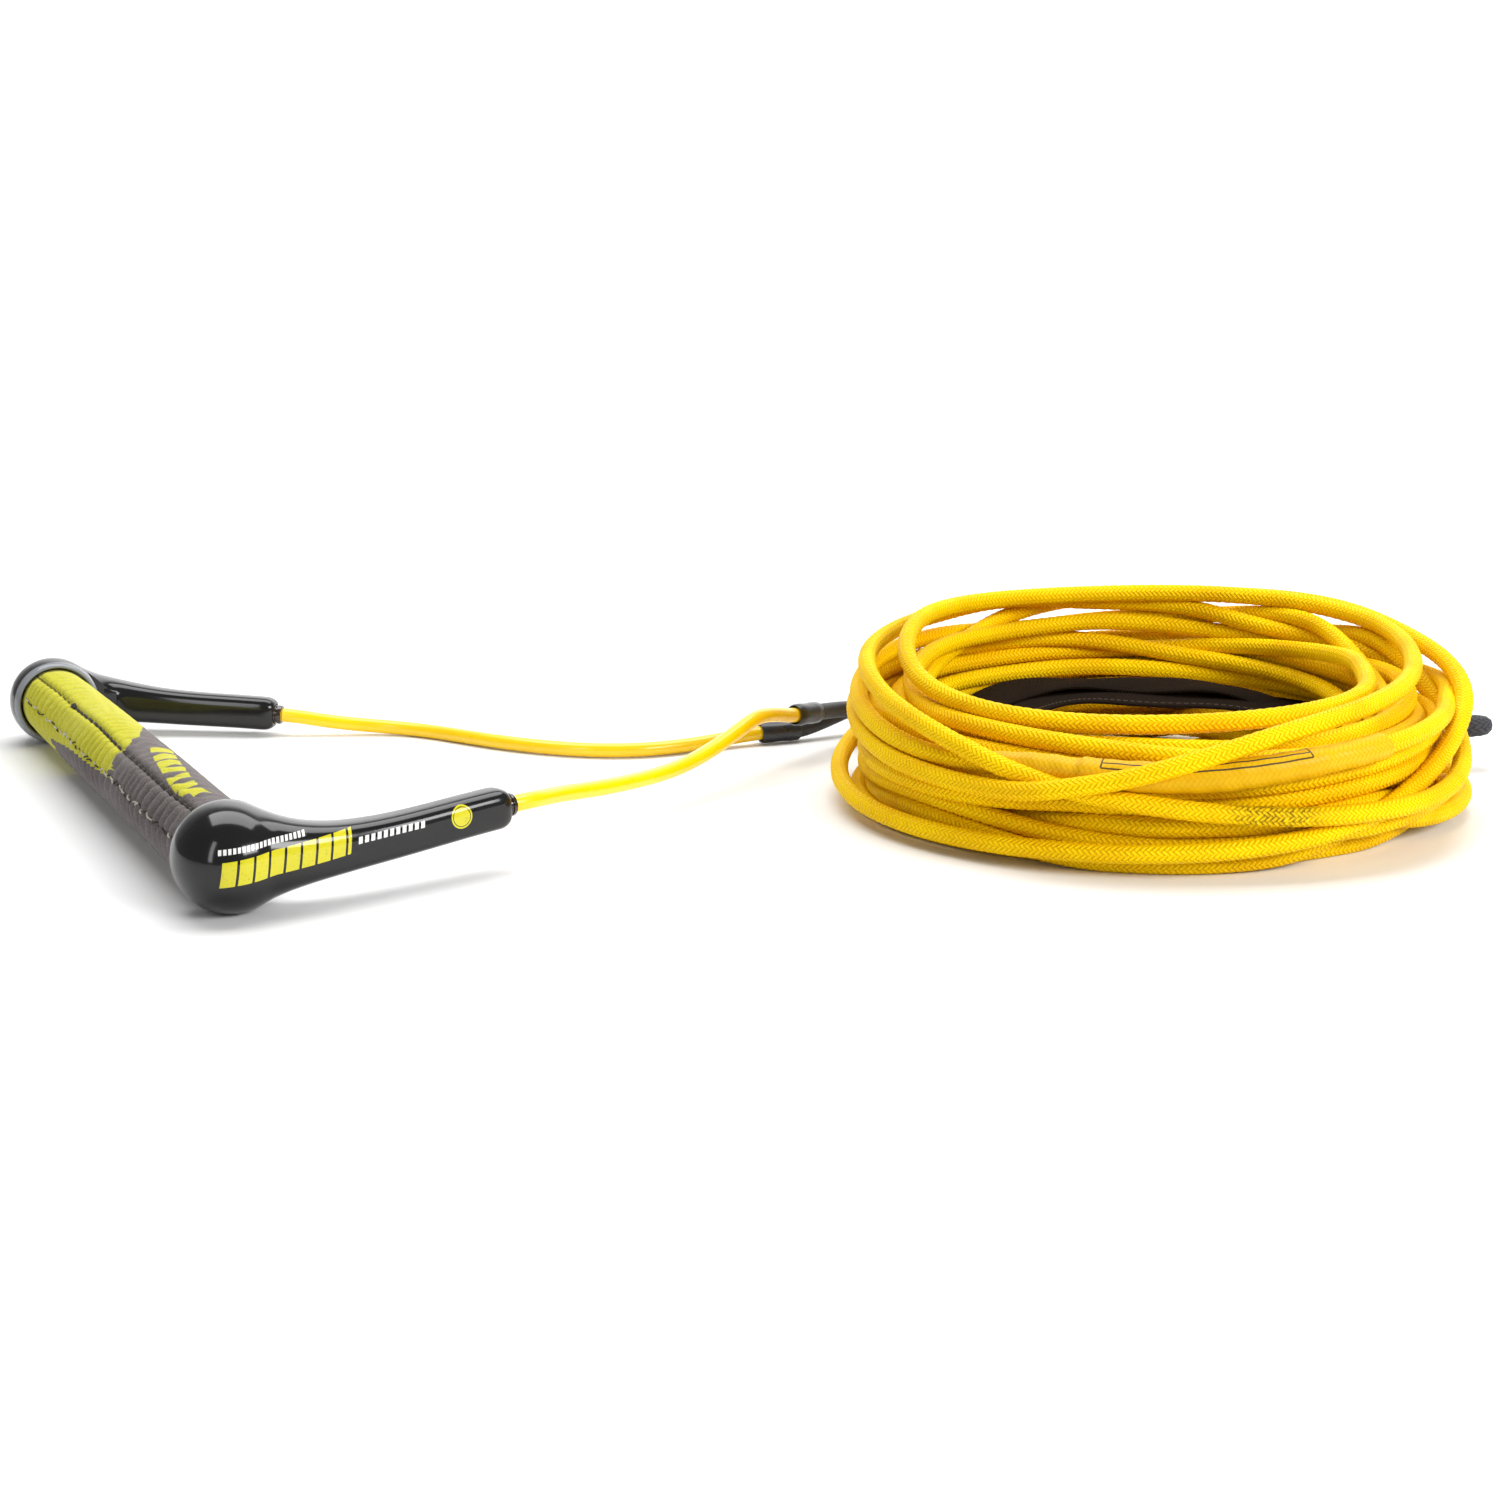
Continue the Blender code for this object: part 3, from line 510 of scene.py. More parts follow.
def cover_look():
    """Brushed microfibre: lemon yellow over one end, dark warm grey with printed blocks over the other, and
    painted shade in the deep seam's groove and in the creases of the gathers.
    """
    look = Look("grip_cover")
    nap, blotch = look.noise(1800.0, 4.0, roughness=0.7), look.noise(160.0)
    ragged = (look.noise(420.0) - 0.5) * 0.004
    yellow_part = look.near(look.attribute("yellow") + ragged, -0.0002, 0.0002)
    crisp = (look.noise(900.0, 2.0) - 0.5) * 0.0008
    printed = look.near(look.attribute("printed") + crisp, -0.00015, 0.00015)
    grey = look.mix(look.near(nap, 0.3, 0.75), (0.085, 0.070, 0.069, 1), (0.185, 0.158, 0.154, 1))
    grey = look.mix(look.near(blotch, 0.4, 0.8) * 0.4, grey, (0.20, 0.185, 0.18, 1))
    yellow = look.mix(look.near(nap, 0.25, 0.7), (0.42, 0.40, 0.02, 1), (0.62, 0.59, 0.035, 1))
    colour = look.mix(look.math("MAXIMUM", yellow_part, printed), grey, yellow)
    # Painted shade: near black down in the deep seam's groove.
    groove = look.near(look.attribute("groove"), 0.25, 0.95)
    colour = look.mix(groove * 0.85, colour, (0.02, 0.017, 0.012, 1))
    # Painted shade: the colour is darkened in the creases of the gathers near the seams.
    shaded = look.mix(0.75, colour, (0.03, 0.026, 0.012, 1))
    colour = look.mix(look.attribute("crease_shade"), colour, shaded)
    normal = look.bump(blotch, 0.0008, 0.4, under=look.bump(nap, 0.00035, 0.7))
    return look.finish(colour, 0.88, normal, Sheen_Weight=0.08, Sheen_Roughness=0.5)


def thread_look(name, colour):
    look = Look(name)
    twist = look.noise(4000.0, 2.0)
    mottled = look.mix(twist, (*[c * 0.7 for c in colour], 1), (*colour, 1))
    return look.finish(mottled, 0.6, look.bump(twist, 0.0001, 0.6))


def label_look(length):
    """Clear shrink sleeve over yellow rope: the braid shows through, with a plain ruled box and no words."""
    look = Look("label_sleeve")
    around, along = look.rope_uv()
    braid_under = braid(look, BRAID_SIDES, BRAID_PITCH)
    # Painted shade: the braid under the film is darker orange in the gaps between its yarns.
    base = look.mix(look.near(braid_under, 0.1, 0.6), (0.60, 0.27, 0.0, 1), (0.86, 0.52, 0.01, 1))
    milky = look.near(look.noise(120.0), 0.35, 0.7)
    from_box = look.math("ABSOLUTE", along - length * 0.53)
    clear = look.near(from_box, length * 0.20, length * 0.32)
    film = look.mix(milky * 0.5, (0.60, 0.32, 0.0, 1), (0.70, 0.42, 0.002, 1))
    colour = look.mix(clear * -0.35 + 0.72, base, film)
    left, right, low, high = length * 0.29, length * 0.765, 0.10, 0.30
    thick_along, thick_round = 0.00035, 0.0095
    lines = None
    for value, at, half, span, start, stop in (
        (along, left, thick_along, around, low, high),
        (along, right, thick_along, around, low, high),
        (around, low, thick_round, along, left, right),
        (around, high, thick_round, along, left, right),
        (around, 0.17, thick_round, along, left, right),
        (around, 0.255, thick_round * 0.6, along, length * 0.70, right),
    ):
        within = look.math("GREATER_THAN", span, start) * look.math("LESS_THAN", span, stop)
        stroke = look.math("COMPARE", value, at, half) * within
        lines = stroke if lines is None else look.math("MAXIMUM", lines, stroke)
    colour = look.mix(lines * 0.9, colour, (0.03, 0.025, 0.02, 1))
    normal = look.bump(braid_under * 0.35 + look.noise(260.0), 0.0003, 0.6)
    return look.finish(
        colour, milky * 0.15 + 0.36, normal, Specular_IOR_Level=0.10, Coat_Weight=0.05, Coat_Roughness=0.30
    )


def webbing_look():
    """Dark woven strap with a row of stitches along each edge."""
    look = Look("webbing")
    around, along = look.rope_uv()
    rib = look.math("SINE", along * (2 * math.pi / 0.0016))
    warp = look.math("SINE", around * (2 * math.pi / 0.0022))
    weave = rib * warp
    rows = [look.math("COMPARE", around, edge, 0.0004) for edge in (0.0025, STRAP_WIDTH - 0.0025)]
    dash = look.math("LESS_THAN", look.math("FRACT", along / 0.0034), 0.62)
    stitch = look.math("MAXIMUM", *rows) * dash
    cloth = look.mix(look.near(weave, -0.6, 0.8), (0.002, 0.0012, 0.0007, 1), (0.012, 0.0065, 0.0035, 1))
    cloth = look.mix(look.noise(60.0) * 0.35, cloth, (0.018, 0.009, 0.004, 1))
    colour = look.mix(stitch, cloth, (0.07, 0.050, 0.036, 1))
    return look.finish(colour, 0.8, look.bump(weave + stitch * 3.0, 0.0002, 0.6), Specular_IOR_Level=0.06)


def plain_look(name, dark, pale, roughness, metallic=0.0, scale=300.0):
    """Inner pieces that only show where something is taken apart."""
    look = Look(name)
    colour = look.mix(look.noise(scale), (*dark, 1), (*pale, 1))
    return look.finish(colour, roughness, look.bump(look.noise(scale * 3), 0.0001, 0.3), Metallic=metallic)


# ---------------------------------------------------------------- meshes


def run_along(points):
    """Distance from the first point to each point, along the line."""
    return np.concatenate([[0.0], np.cumsum(np.linalg.norm(np.diff(points, axis=0), axis=1))])


def smooth_route(route, spacing):
    """Points at about this spacing on the natural cubic spline through the route."""
    route = np.array(route, float)
    at = run_along(route)
    step = np.linalg.norm(np.diff(route, axis=0), axis=1)
    count = len(route)
    low, main, high = np.zeros(count), np.ones(count), np.zeros(count)
    low[1:-1], main[1:-1], high[1:-1] = step[:-1], 2 * (step[:-1] + step[1:]), step[1:]
    slopes = np.zeros_like(route)
    slopes[1:-1] = 6 * np.diff(np.diff(route, axis=0) / step[:, None], axis=0)
    for k in range(1, count):
        share = low[k] / main[k - 1]
        main[k] -= share * high[k - 1]
        slopes[k] -= share * slopes[k - 1]
    bend = np.zeros_like(route)
    bend[-1] = slopes[-1] / main[-1]
    for k in range(count - 2, -1, -1):
        bend[k] = (slopes[k] - high[k] * bend[k + 1]) / main[k]
    t = np.linspace(0, at[-1], max(2, int(round(at[-1] / spacing)) + 1))
    k = np.clip(np.searchsorted(at, t, side="right") - 1, 0, count - 2)
    h, a, b = step[k, None], (at[k + 1] - t)[:, None], (t - at[k])[:, None]
    curve = (bend[k] * a**3 + bend[k + 1] * b**3) / (6 * h)
    return curve + (route[k] / h - bend[k] * h / 6) * a + (route[k + 1] / h - bend[k + 1] * h / 6) * b


def add_mesh(name, vertices, faces, look, uv=None, sharp=None):
    mesh = bpy.data.meshes.new(name)
    mesh.from_pydata(np.asarray(vertices, float).tolist(), [], faces)
    if uv is not None:
        mesh.uv_layers.new(name="rope").data.foreach_set("uv", np.asarray(uv, np.float32).ravel())
    mesh.validate()
    mesh.shade_smooth()
    if sharp:
        mesh.set_sharp_from_angle(angle=math.radians(sharp))
    made = bpy.data.objects.new(name, mesh)
    bpy.context.scene.collection.objects.link(made)
    mesh.materials.append(look)
    return made


def unit(vectors):
    return vectors / np.maximum(np.linalg.norm(vectors, axis=-1, keepdims=True), 1e-12)


def side_axes(points, upright, closed):
    """Two directions square to the line at each point: kept upright, or carried along without twist."""
    if closed:
        along = unit(np.roll(points, -1, 0) - np.roll(points, 1, 0))
    else:
        along = unit(np.gradient(points, axis=0))
    if upright:
        side = unit(np.cross(along, [0.0, 0.0, 1.0]))
        return side, np.cross(side, along)
    side = np.zeros_like(points)
    first = np.cross(along[0], [0.0, 0.0, 1.0])
    side[0] = first / np.linalg.norm(first)
    for k in range(1, len(points)):
        carried = side[k - 1] - along[k] * (side[k - 1] @ along[k])
        side[k] = carried / math.sqrt(carried @ carried)
    return side, np.cross(side, along)


def ringed(rings, u, v):
    """Vertices, faces and map of rings of points, each joined to the next. u is the map round a ring.

    v is the map from ring to ring: with one value more than there are rings, the last ring joins the first,
    and otherwise a face closes each end."""
    count, sides = rings.shape[:2]
    u, v = np.asarray(u, float), np.asarray(v, float)
    k, j = np.meshgrid(np.arange(len(v) - 1), np.arange(sides), indexing="ij")
    k2, j2 = (k + 1) % count, (j + 1) % sides
    faces = np.stack([k * sides + j, k * sides + j2, k2 * sides + j2, k2 * sides + j], -1)
    faces = faces.reshape(-1, 4).tolist()
    corners = ((u[j], v[k]), (u[j + 1], v[k]), (u[j + 1], v[k + 1]), (u[j], v[k + 1]))
    uv = np.stack([np.stack(corner, -1) for corner in corners], -2).reshape(-1, 2).tolist()
    if len(v) == count:
        faces += [list(range(sides))[::-1], list(range((count - 1) * sides, count * sides))]
        uv += [(x, v[0]) for x in u[:-1]][::-1] + [(x, v[-1]) for x in u[:-1]]
    return rings.reshape(-1, 3), faces, uv


def tube(points, radius, sides, upright=False, closed=False, station=None):
    """Vertices, faces and map of a tube. radius is one number, one for each point, or each point and side."""
    points = np.asarray(points, float)
    count = len(points)
    side, rise = side_axes(points, upright, closed)
    if np.ndim(radius) == 1:
        radius = np.reshape(radius, (-1, 1))
    radius = np.broadcast_to(radius, (count, sides))
    angle = 2 * math.pi * np.arange(sides) / sides
    ring = side[:, None] * np.cos(angle)[:, None] + rise[:, None] * np.sin(angle)[:, None]
    rings = points[:, None] + ring * radius[:, :, None]
    if station:
        at = station * np.arange(count + 1)
    else:
        at = run_along(np.concatenate([points, points[:1]]))
    return ringed(rings, np.arange(sides + 1) / sides, at if closed else at[:-1])


def sweep(name, points, radius, look, sides=14, upright=False, closed=False, station=None):
    """A tube through the points. station is the length that each step counts for, if it isn't its own."""
    vertices, faces, uv = tube(points, radius, sides, upright, closed, station)
    return add_mesh(name, vertices, faces, look, uv, None if closed else 50)


def bundle(name, lines, radius, look, sides=6):
    """Many short tubes as one piece."""
    vertices, faces, uv = [], [], []
    for line in lines:
        more, sides_of_more, map_of_more = tube(line, radius, sides)
        faces += [[v + len(vertices) for v in face] for face in sides_of_more]
        vertices += more.tolist()
        uv += map_of_more
    return add_mesh(name, vertices, faces, look, uv, 50)


def outward_faces(made, weld=0.0):
    """Turns every face outward, after joining points that lie this close together."""
    solid = bmesh.new()
    solid.from_mesh(made.data)
    if weld:
        bmesh.ops.remove_doubles(solid, verts=solid.verts, dist=weld)
    bmesh.ops.recalc_face_normals(solid, faces=solid.faces)
    solid.to_mesh(made.data)
    solid.free()
    return made


def turned(name, profile, place, look, steps=64):
    """A closed outline of (radius, along) points, turned about the Z axis of place."""
    radius, along = np.array(profile, float).T
    angle = 2 * math.pi * np.arange(steps) / steps
    flat = np.stack([np.cos(angle), np.sin(angle), np.zeros(steps)], -1)
    matrix = np.array(place)
    rings = flat * radius[:, None, None] + along[:, None, None] * (0, 0, 1)
    rings = rings @ matrix[:3, :3].T + matrix[:3, 3]
    vertices, faces, uv = ringed(rings, np.arange(steps + 1) / steps, [*along, along[0]])
    made = outward_faces(add_mesh(name, vertices, faces, look, uv), weld=1e-7)
    made.data.set_sharp_from_angle(angle=math.radians(35))
    return made


def facing(point, direction):
    """A frame at point with its Z axis along direction."""
    turn = Vector(direction).to_track_quat("Z", "Y").to_matrix().to_4x4()
    return Matrix.Translation(Vector(point)) @ turn


def shown(piece, body, slot, *nodes):
    """The piece rides on the body and stands for these CAD nodes. slot is not used."""
    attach(piece, body)
    if nodes:
        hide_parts(*nodes)
    return piece


# ---------------------------------------------------------------- the coil


def on_plan(angle, radius):
    a = math.radians(angle) + VIEW_TURN
    return (COIL_X + radius * math.cos(a), COIL_Y + radius * math.sin(a))


def keyed(turn):
    """Control points (x, y, height) of a turn's keys."""
    return [(*on_plan(angle, radius), height) for angle, radius, height in turn]


def pile_band(angle, level):
    """Inner and outer radius of the pile at a level from 0, the floor, to 1, its top."""
    a = math.radians(angle)
    front, back = max(0.0, -math.sin(a)), max(0.0, math.sin(a))
    outer = 0.1385 + 0.0035 * front - 0.002 * back - (0.010 + 0.006 * back - 0.002 * front) * level
    return 0.094 + 0.008 * front + 0.002 * back + 0.002 * level, outer


def pile_height(angle, level):
    """Height of the pile's strands at a level from 0.15, the lowest, to 1."""
    top = 0.044 + 0.011 * math.sin(math.radians(angle))
    return 0.010 + (top - 0.010) * (level - 0.15) / 0.85


def wander(rng, plan, turns, low, high, angle, share, lifted=True):
    """Adds loose turns to the plan that cross from one side of the pile to the other."""
    for turn in range(turns):
        level = low + (high - low) * turn / max(1, turns - 1)
        goal, start = rng.uniform(0, 1), share
        slant, high_side = rng.uniform(0.001, 0.006), rng.uniform(0, 360)
        for j in range(6):
            part = min(1.0, max(0.0, start + (goal - start) * (j + 1) / 6 + rng.normal(0, 0.2)))
            inner, outer = pile_band(angle % 360, level)
            height = 0.0
            if lifted:
                tip = slant * math.cos(math.radians(angle - high_side))
                height = max(0.006, pile_height(angle, level) + tip + rng.normal(0, 0.002))
            plan.append((*on_plan(angle, inner + (outer - inner) * part), height))
            angle -= 60
        share = goal
    return angle, share


def coil_plan():
    """Control points (x, y, height) of the coil, and how many come before its upper and labelled turns."""
    rng = np.random.default_rng(COIL_SEED)
    plan = [MAINLINE_LEAD_ROUTE[-1][:2] + (0.0,)]
    plan += keyed(COIL_START)
    angle, share = wander(rng, plan, LOW_TURNS, 0.0, 0.25, -10, 0.3, lifted=False)
    low_count = len(plan)
    wander(rng, plan, UPPER_TURNS, 0.25, 1.0, angle, share)
    del plan[-2:]
    plan += keyed(OUTER_TURN + RISING_TURN)
    label_count = len(plan)
    plan += keyed(LABEL_TURN)
    wander(rng, plan, 1, 0.9, 0.9, 20, 0.3)
    plan += keyed(RAISED_TURN + CROSSING_TURN + LAST_TURN)
    return plan, low_count, label_count


def support(points, laid, reach):
    """The lowest height at each point that clears everything already laid."""
    low = np.full(len(points), MAINLINE_RADIUS)
    for k in range(0, len(points), 64):
        gap = ((points[k : k + 64, None, :2] - laid[None, :, :2]) ** 2).sum(2)
        rise = laid[None, :, 2] + np.sqrt(np.maximum(reach**2 - gap, 0))
        low[k : k + 64] = np.maximum(low[k : k + 64], np.where(gap < reach**2, rise, 0).max(1))
    return low


def bridge(low, held):
    """A springy strand over these supports. The first `held` heights are already settled."""
    z = low.copy()
    for k in range(1, 32):
        fall = STRAND_SAG * (k * COIL_SPACING) ** 2
        z[k:] = np.maximum(z[k:], low[:-k] - fall)
        z[:-k] = np.maximum(z[:-k], low[k:] - fall)
    z[:held] = low[:held]
    for _ in range(60):
        z[1:-1] = np.maximum(low[1:-1], 0.5 * z[1:-1] + 0.25 * (z[:-2] + z[2:]))
        z[:held] = low[:held]
    return z


def close_pairs(points, reach, skip=4):
    """Pairs of points nearer than reach that aren't neighbours along the rope."""
    cell = np.floor(points / reach).astype(np.int64)
    cell -= cell.min(0) - 1
    size = cell.max(0) + 2
    key = (cell[:, 0] * size[1] + cell[:, 1]) * size[2] + cell[:, 2]
    order = np.argsort(key, kind="stable")
    ranked = key[order]
    firsts, seconds = [], []
    for dx in (-1, 0, 1):
        for dy in (-1, 0, 1):
            for dz in (-1, 0, 1):
                step = (dx * size[1] + dy) * size[2] + dz
                if step < 0:
                    continue
                start = np.searchsorted(ranked, key + step, side="left")
                count = np.searchsorted(ranked, key + step, side="right") - start
                i = np.repeat(np.arange(len(points)), count)
                offset = np.arange(count.sum()) - np.repeat(np.cumsum(count) - count, count)
                j = order[np.repeat(start, count) + offset]
                keep = i < j if step == 0 else slice(None)
                firsts.append(i[keep])
                seconds.append(j[keep])
    i, j = np.concatenate(firsts), np.concatenate(seconds)
    near = (np.abs(i - j) > skip) & (((points[i] - points[j]) ** 2).sum(1) < reach**2)
    return i[near], j[near]


def sum_at(index, value, count):
    """Adds up the values that fall on each of count points."""
    return np.column_stack([np.bincount(index, value[:, k], count) for k in range(3)])


def curvature(points):
    """How far each point's neighbours pull it to the right of the rope's heading, and up."""
    before, after = points[: -2 * BEND_REACH], points[2 * BEND_REACH :]
    heading = unit(after - before)
    middle = (before + after) / 2 - points[BEND_REACH:-BEND_REACH]
    return middle[:, 0] * heading[:, 1] - middle[:, 1] * heading[:, 0], middle[:, 2]


def keep_lengths(x, rest):
    """Moves neighbouring points to their own distance apart, first the even pairs and then the odd ones."""
    for parity in (0, 1):
        a = np.arange(parity, len(x) - 1, 2)
        run = x[a + 1] - x[a]
        length = np.linalg.norm(run, axis=1)
        change = run * ((length - rest[a]) / length * 0.5)[:, None]
        x[a] += change
        x[a + 1] -= change


def spring_back(x, bend, tilt):
    """Draws each point towards the bend that the rope has there, and evens out small kinks."""
    before, after, middle = x[: -2 * BEND_REACH], x[2 * BEND_REACH :], x[BEND_REACH:-BEND_REACH]
    heading = unit(after - before)
    goal = (before + after) / 2
    goal[:, 0] -= heading[:, 1] * bend
    goal[:, 1] += heading[:, 0] * bend
    goal[:, 2] -= tilt
    middle += BEND_SPRING * (goal - middle)
    x[1:-1] += KINK_SPRING * ((x[:-2] + x[2:]) / 2 - x[1:-1])


def stay_in_bounds(x, ceiling):
    """Keeps the rope above the floor, under the ceiling and inside the pile's outer wall."""
    if ceiling is not None:
        x[:, 2] = np.minimum(x[:, 2], ceiling)
    x[:, 2] = np.maximum(x[:, 2], MAINLINE_RADIUS)
    centre = np.array([COIL_X, COIL_Y])
    out = np.linalg.norm(x[:, :2] - centre, axis=1)[:, None]
    wall = np.where(x[:, 2:] > WALL_STEP, WALL_HIGH, WALL_LOW)
    x[:, :2] = centre + (x[:, :2] - centre) / np.maximum(1.0, out / wall)


def relax(
    rope, flat, pull, aim, fixed, obstacle, steps, rounds, gravity, attraction, ceiling=None, keep_tilt=True
):
    """Position-based rope: constant length, no strand closer than a diameter to another, springy bends.

    flat is the plan that pull draws each point towards, and aim the heights that some points are held to."""
    x, count = rope.copy(), len(rope)
    old = x.copy()
    rest = np.linalg.norm(np.diff(flat, axis=0), axis=1)
    smooth = np.convolve(np.pad(rope[:, 2], 6, mode="edge"), np.full(13, 1 / 13), mode="valid")
    bend, tilt = curvature(flat)[0], curvature(np.column_stack([rope[:, :2], smooth]))[1]
    tilt = tilt if keep_tilt else np.zeros_like(tilt)
    aimed = aim > 0
    for step in range(steps):
        drift = (x - old) * SPEED_KEPT
        old = x.copy()
        x = x + drift - (0, 0, gravity)
        if step % 3 == 0:
            i, j = close_pairs(np.concatenate([x, obstacle]), CONTACT_REACH)
            ours = (i < count) | (j < count)
            i, j = i[ours], j[ours]
            on_obstacle = (i >= count) | (j >= count)
            apart = np.where(on_obstacle, OBSTACLE_GAP, 2 * MAINLINE_RADIUS)
        for _ in range(rounds):
            everything = np.concatenate([x, obstacle])
            gap = everything[i] - everything[j]
            distance = np.linalg.norm(gap, axis=1) + 1e-9
            short = np.maximum(apart - distance, 0)
            push = gap * (short / distance * 0.5)[:, None]
            total = len(everything)
            move = sum_at(i, push, total) - sum_at(j, push, total)
            touching = (short > 0).astype(float)
            load = np.bincount(i, touching, total) + np.bincount(j, touching, total)
            x += (move / np.maximum(1.0, load * CROWDING)[:, None])[:count]
            keep_lengths(x, rest)
            spring_back(x, bend, tilt)
            x[:, :2] += pull[:, None] * (flat[:, :2] - x[:, :2])
            x[aimed, 2] += attraction * (aim[aimed] - x[aimed, 2])
            stay_in_bounds(x, ceiling)
            x[fixed] = rope[fixed]
    return x


def strap_surface():
    """Points all over the strap, for the rope to rest on."""
    route = smooth_route(STRAP_ROUTE, 0.003)
    along = unit(np.gradient(route, axis=0) * (1, 1, 0))
    side = np.column_stack([along[:, 1], -along[:, 0], np.zeros(len(along))])
    across = np.linspace(-0.5, 0.5, 15) * STRAP_WIDTH
    return (route[:, None] + side[:, None] * across[:, None]).reshape(-1, 3)


def drop_low_turns(rope, low_stop, end_line):
    """Lays the lowest turns one stretch after another on what lies there already."""
    stretch, looked_at, left_out, overlap = 90, 130, 12, 40
    begin = 1
    while begin < low_stop:
        stop, look = min(begin + stretch, low_stop), min(begin + looked_at, low_stop)
        laid = np.concatenate([end_line, rope[: max(0, begin - left_out)]])
        held = min(overlap, begin)
        low = support(rope[begin:look], laid, 2 * MAINLINE_RADIUS)
        settled = bridge(np.concatenate([rope[begin - held : begin, 2], low]), held)
        rope[begin:stop, 2] = settled[held : held + stop - begin]
        begin = stop


def settle_coil():
    """The centre line of the mainline from its lead to the boat loop, coiled down and settled."""
    plan, low_count, label_count = coil_plan()
    end = keyed(COIL_END) + BOAT_END_ROUTE[::-1]
    plan = np.array(plan + end)
    step = run_along(plan[:, :2])
    flat = smooth_route(plan * (1, 1, 0), COIL_SPACING)
    at = np.linspace(0, step[-1], len(flat))
    count, low_stop = len(flat), int(np.searchsorted(at, step[low_count]))
    end_start = int(np.searchsorted(at, step[len(plan) - len(end)]))
    keyed_count = label_count - len(OUTER_TURN + RISING_TURN)
    label_span = [step[label_count + k] / step[-1] for k in (0, len(LABEL_TURN) - 1)]
    height = np.interp(at, step, plan[:, 2])
    rope = flat.copy()
    rope[:, 2] = np.maximum(height, MAINLINE_RADIUS)
    end_line = rope[end_start:]
    fixed = np.zeros(count, bool)
    fixed[:2] = True
    fixed[end_start + 10 :] = True
    # The lowest turns are dropped on the boat end, which lies across under them, and pressed down
    rope[0, 2] = MAINLINE_LEAD_ROUTE[-1][2]
    drop_low_turns(rope, low_stop, end_line)
    pull = np.full(low_stop, LOW_PULL)
    pull[-40:] = np.linspace(LOW_PULL, END_PULL, 40)
    angle = np.arctan2(flat[:low_stop, 1] - COIL_Y, flat[:low_stop, 0] - COIL_X) - VIEW_TURN
    ceiling = 0.019 - 0.003 * np.cos(angle - math.radians(20))
    no_aim = np.zeros(low_stop)
    held_low = fixed[:low_stop].copy()
    held_low[-1] = True
    rope[:low_stop] = relax(
        rope[:low_stop], flat[:low_stop], pull, no_aim, held_low, end_line, 60, 5, 2e-4, 0.0,
        ceiling, keep_tilt=False,
    )
    # Then the whole pile, with the upper strands held near the heights that they have in the plan
    aim = np.where(np.arange(count) < low_stop, 0.0, height)
    aim[end_start:] = 0.0
    pull = np.where(at < step[keyed_count], UPPER_PULL, KEYED_PULL)
    strap = strap_surface()
    for steps, rounds, gravity, attraction in ((100, 6, 3e-5, 0.12), (24, 12, 0.0, 0.05), (24, 14, 0.0, 0.0)):
        rope = relax(rope, flat, pull, aim, fixed, strap, steps, rounds, gravity, attraction)
    return rope, label_span


def coil_angle(points):
    """Angle of each point round the coil from the right, in degrees."""
    return np.degrees(np.arctan2(points[:, 1] - COIL_Y, points[:, 0] - COIL_X) - VIEW_TURN) % 360


# ---------------------------------------------------------------- the mainline


def resampled(points, spacing):
    """The same line with points this far apart along it."""
    points = np.asarray(points, float)
    at = run_along(points)
    t = np.linspace(0, at[-1], max(2, int(round(at[-1] / spacing)) + 1))
    return np.column_stack([np.interp(t, at, points[:, k]) for k in range(3)])


def softened(points, rounds):
    """The line with its small kinks evened out."""
    points = points.copy()
    for _ in range(rounds):
        points[1:-1] = 0.5 * points[1:-1] + 0.25 * (points[:-2] + points[2:])
    return points


def length_of(points):
    return float(np.linalg.norm(np.diff(points, axis=0), axis=1).sum())


def braided(name, line, radius, look, swell=None):
    """A braided tube whose surface rises at the middle of each yarn. swell scales its radius along it."""
    line = np.asarray(line, float)
    count = len(line)
    k, j = np.meshgrid(np.arange(count), np.arange(BRAID_SIDES), indexing="ij")
    bumpy = radius + BRAID_RELIEF * np.where((k + j) % 2 == 0, 1.0, -1.0)
    if swell is not None:
        bumpy = bumpy * np.asarray(swell)[:, None]
    return sweep(name, line, bumpy, look, sides=BRAID_SIDES, station=BRAID_PITCH)


def add_coil(rope):
    line = softened(resampled(rope, BRAID_PITCH), 2)
    look = rope_look("rope", ROPE_GAP_SHADE, ROPE_YARN, marker_stretch(line))
    coil = braided("mainline_rope", line, MAINLINE_RADIUS, look)
    shown(coil, "mainline", "rope", "mainline_coil", "mainline_boat_end")
    return coil, line


def label_stretch(line, span):
    """The part of the labelled turn that lies under the label sleeve."""
    angle = coil_angle(line)
    inside = (angle > LABEL_ANGLES[0]) & (angle < LABEL_ANGLES[1])
    at = np.linspace(0, 1, len(line))
    found = np.flatnonzero(inside & (at > span[0]) & (at < span[1]))
    return line[found[0] : found[-1] + 1]


def marker_stretch(line):
    """Where, in metres along the rope, a strand low over the coil's front carries its dyed mark."""
    angle = coil_angle(line)
    reach = np.hypot(line[:, 0] - COIL_X, line[:, 1] - COIL_Y)
    seen = (np.abs(angle - MARKER_ANGLE) < 2) & (np.abs(line[:, 2] - MARKER_HEIGHT) < 0.005)
    middle = np.argmax(np.where(seen, reach, 0.0)) * BRAID_PITCH
    return middle - MARKER_LENGTH / 2, middle + MARKER_LENGTH / 2


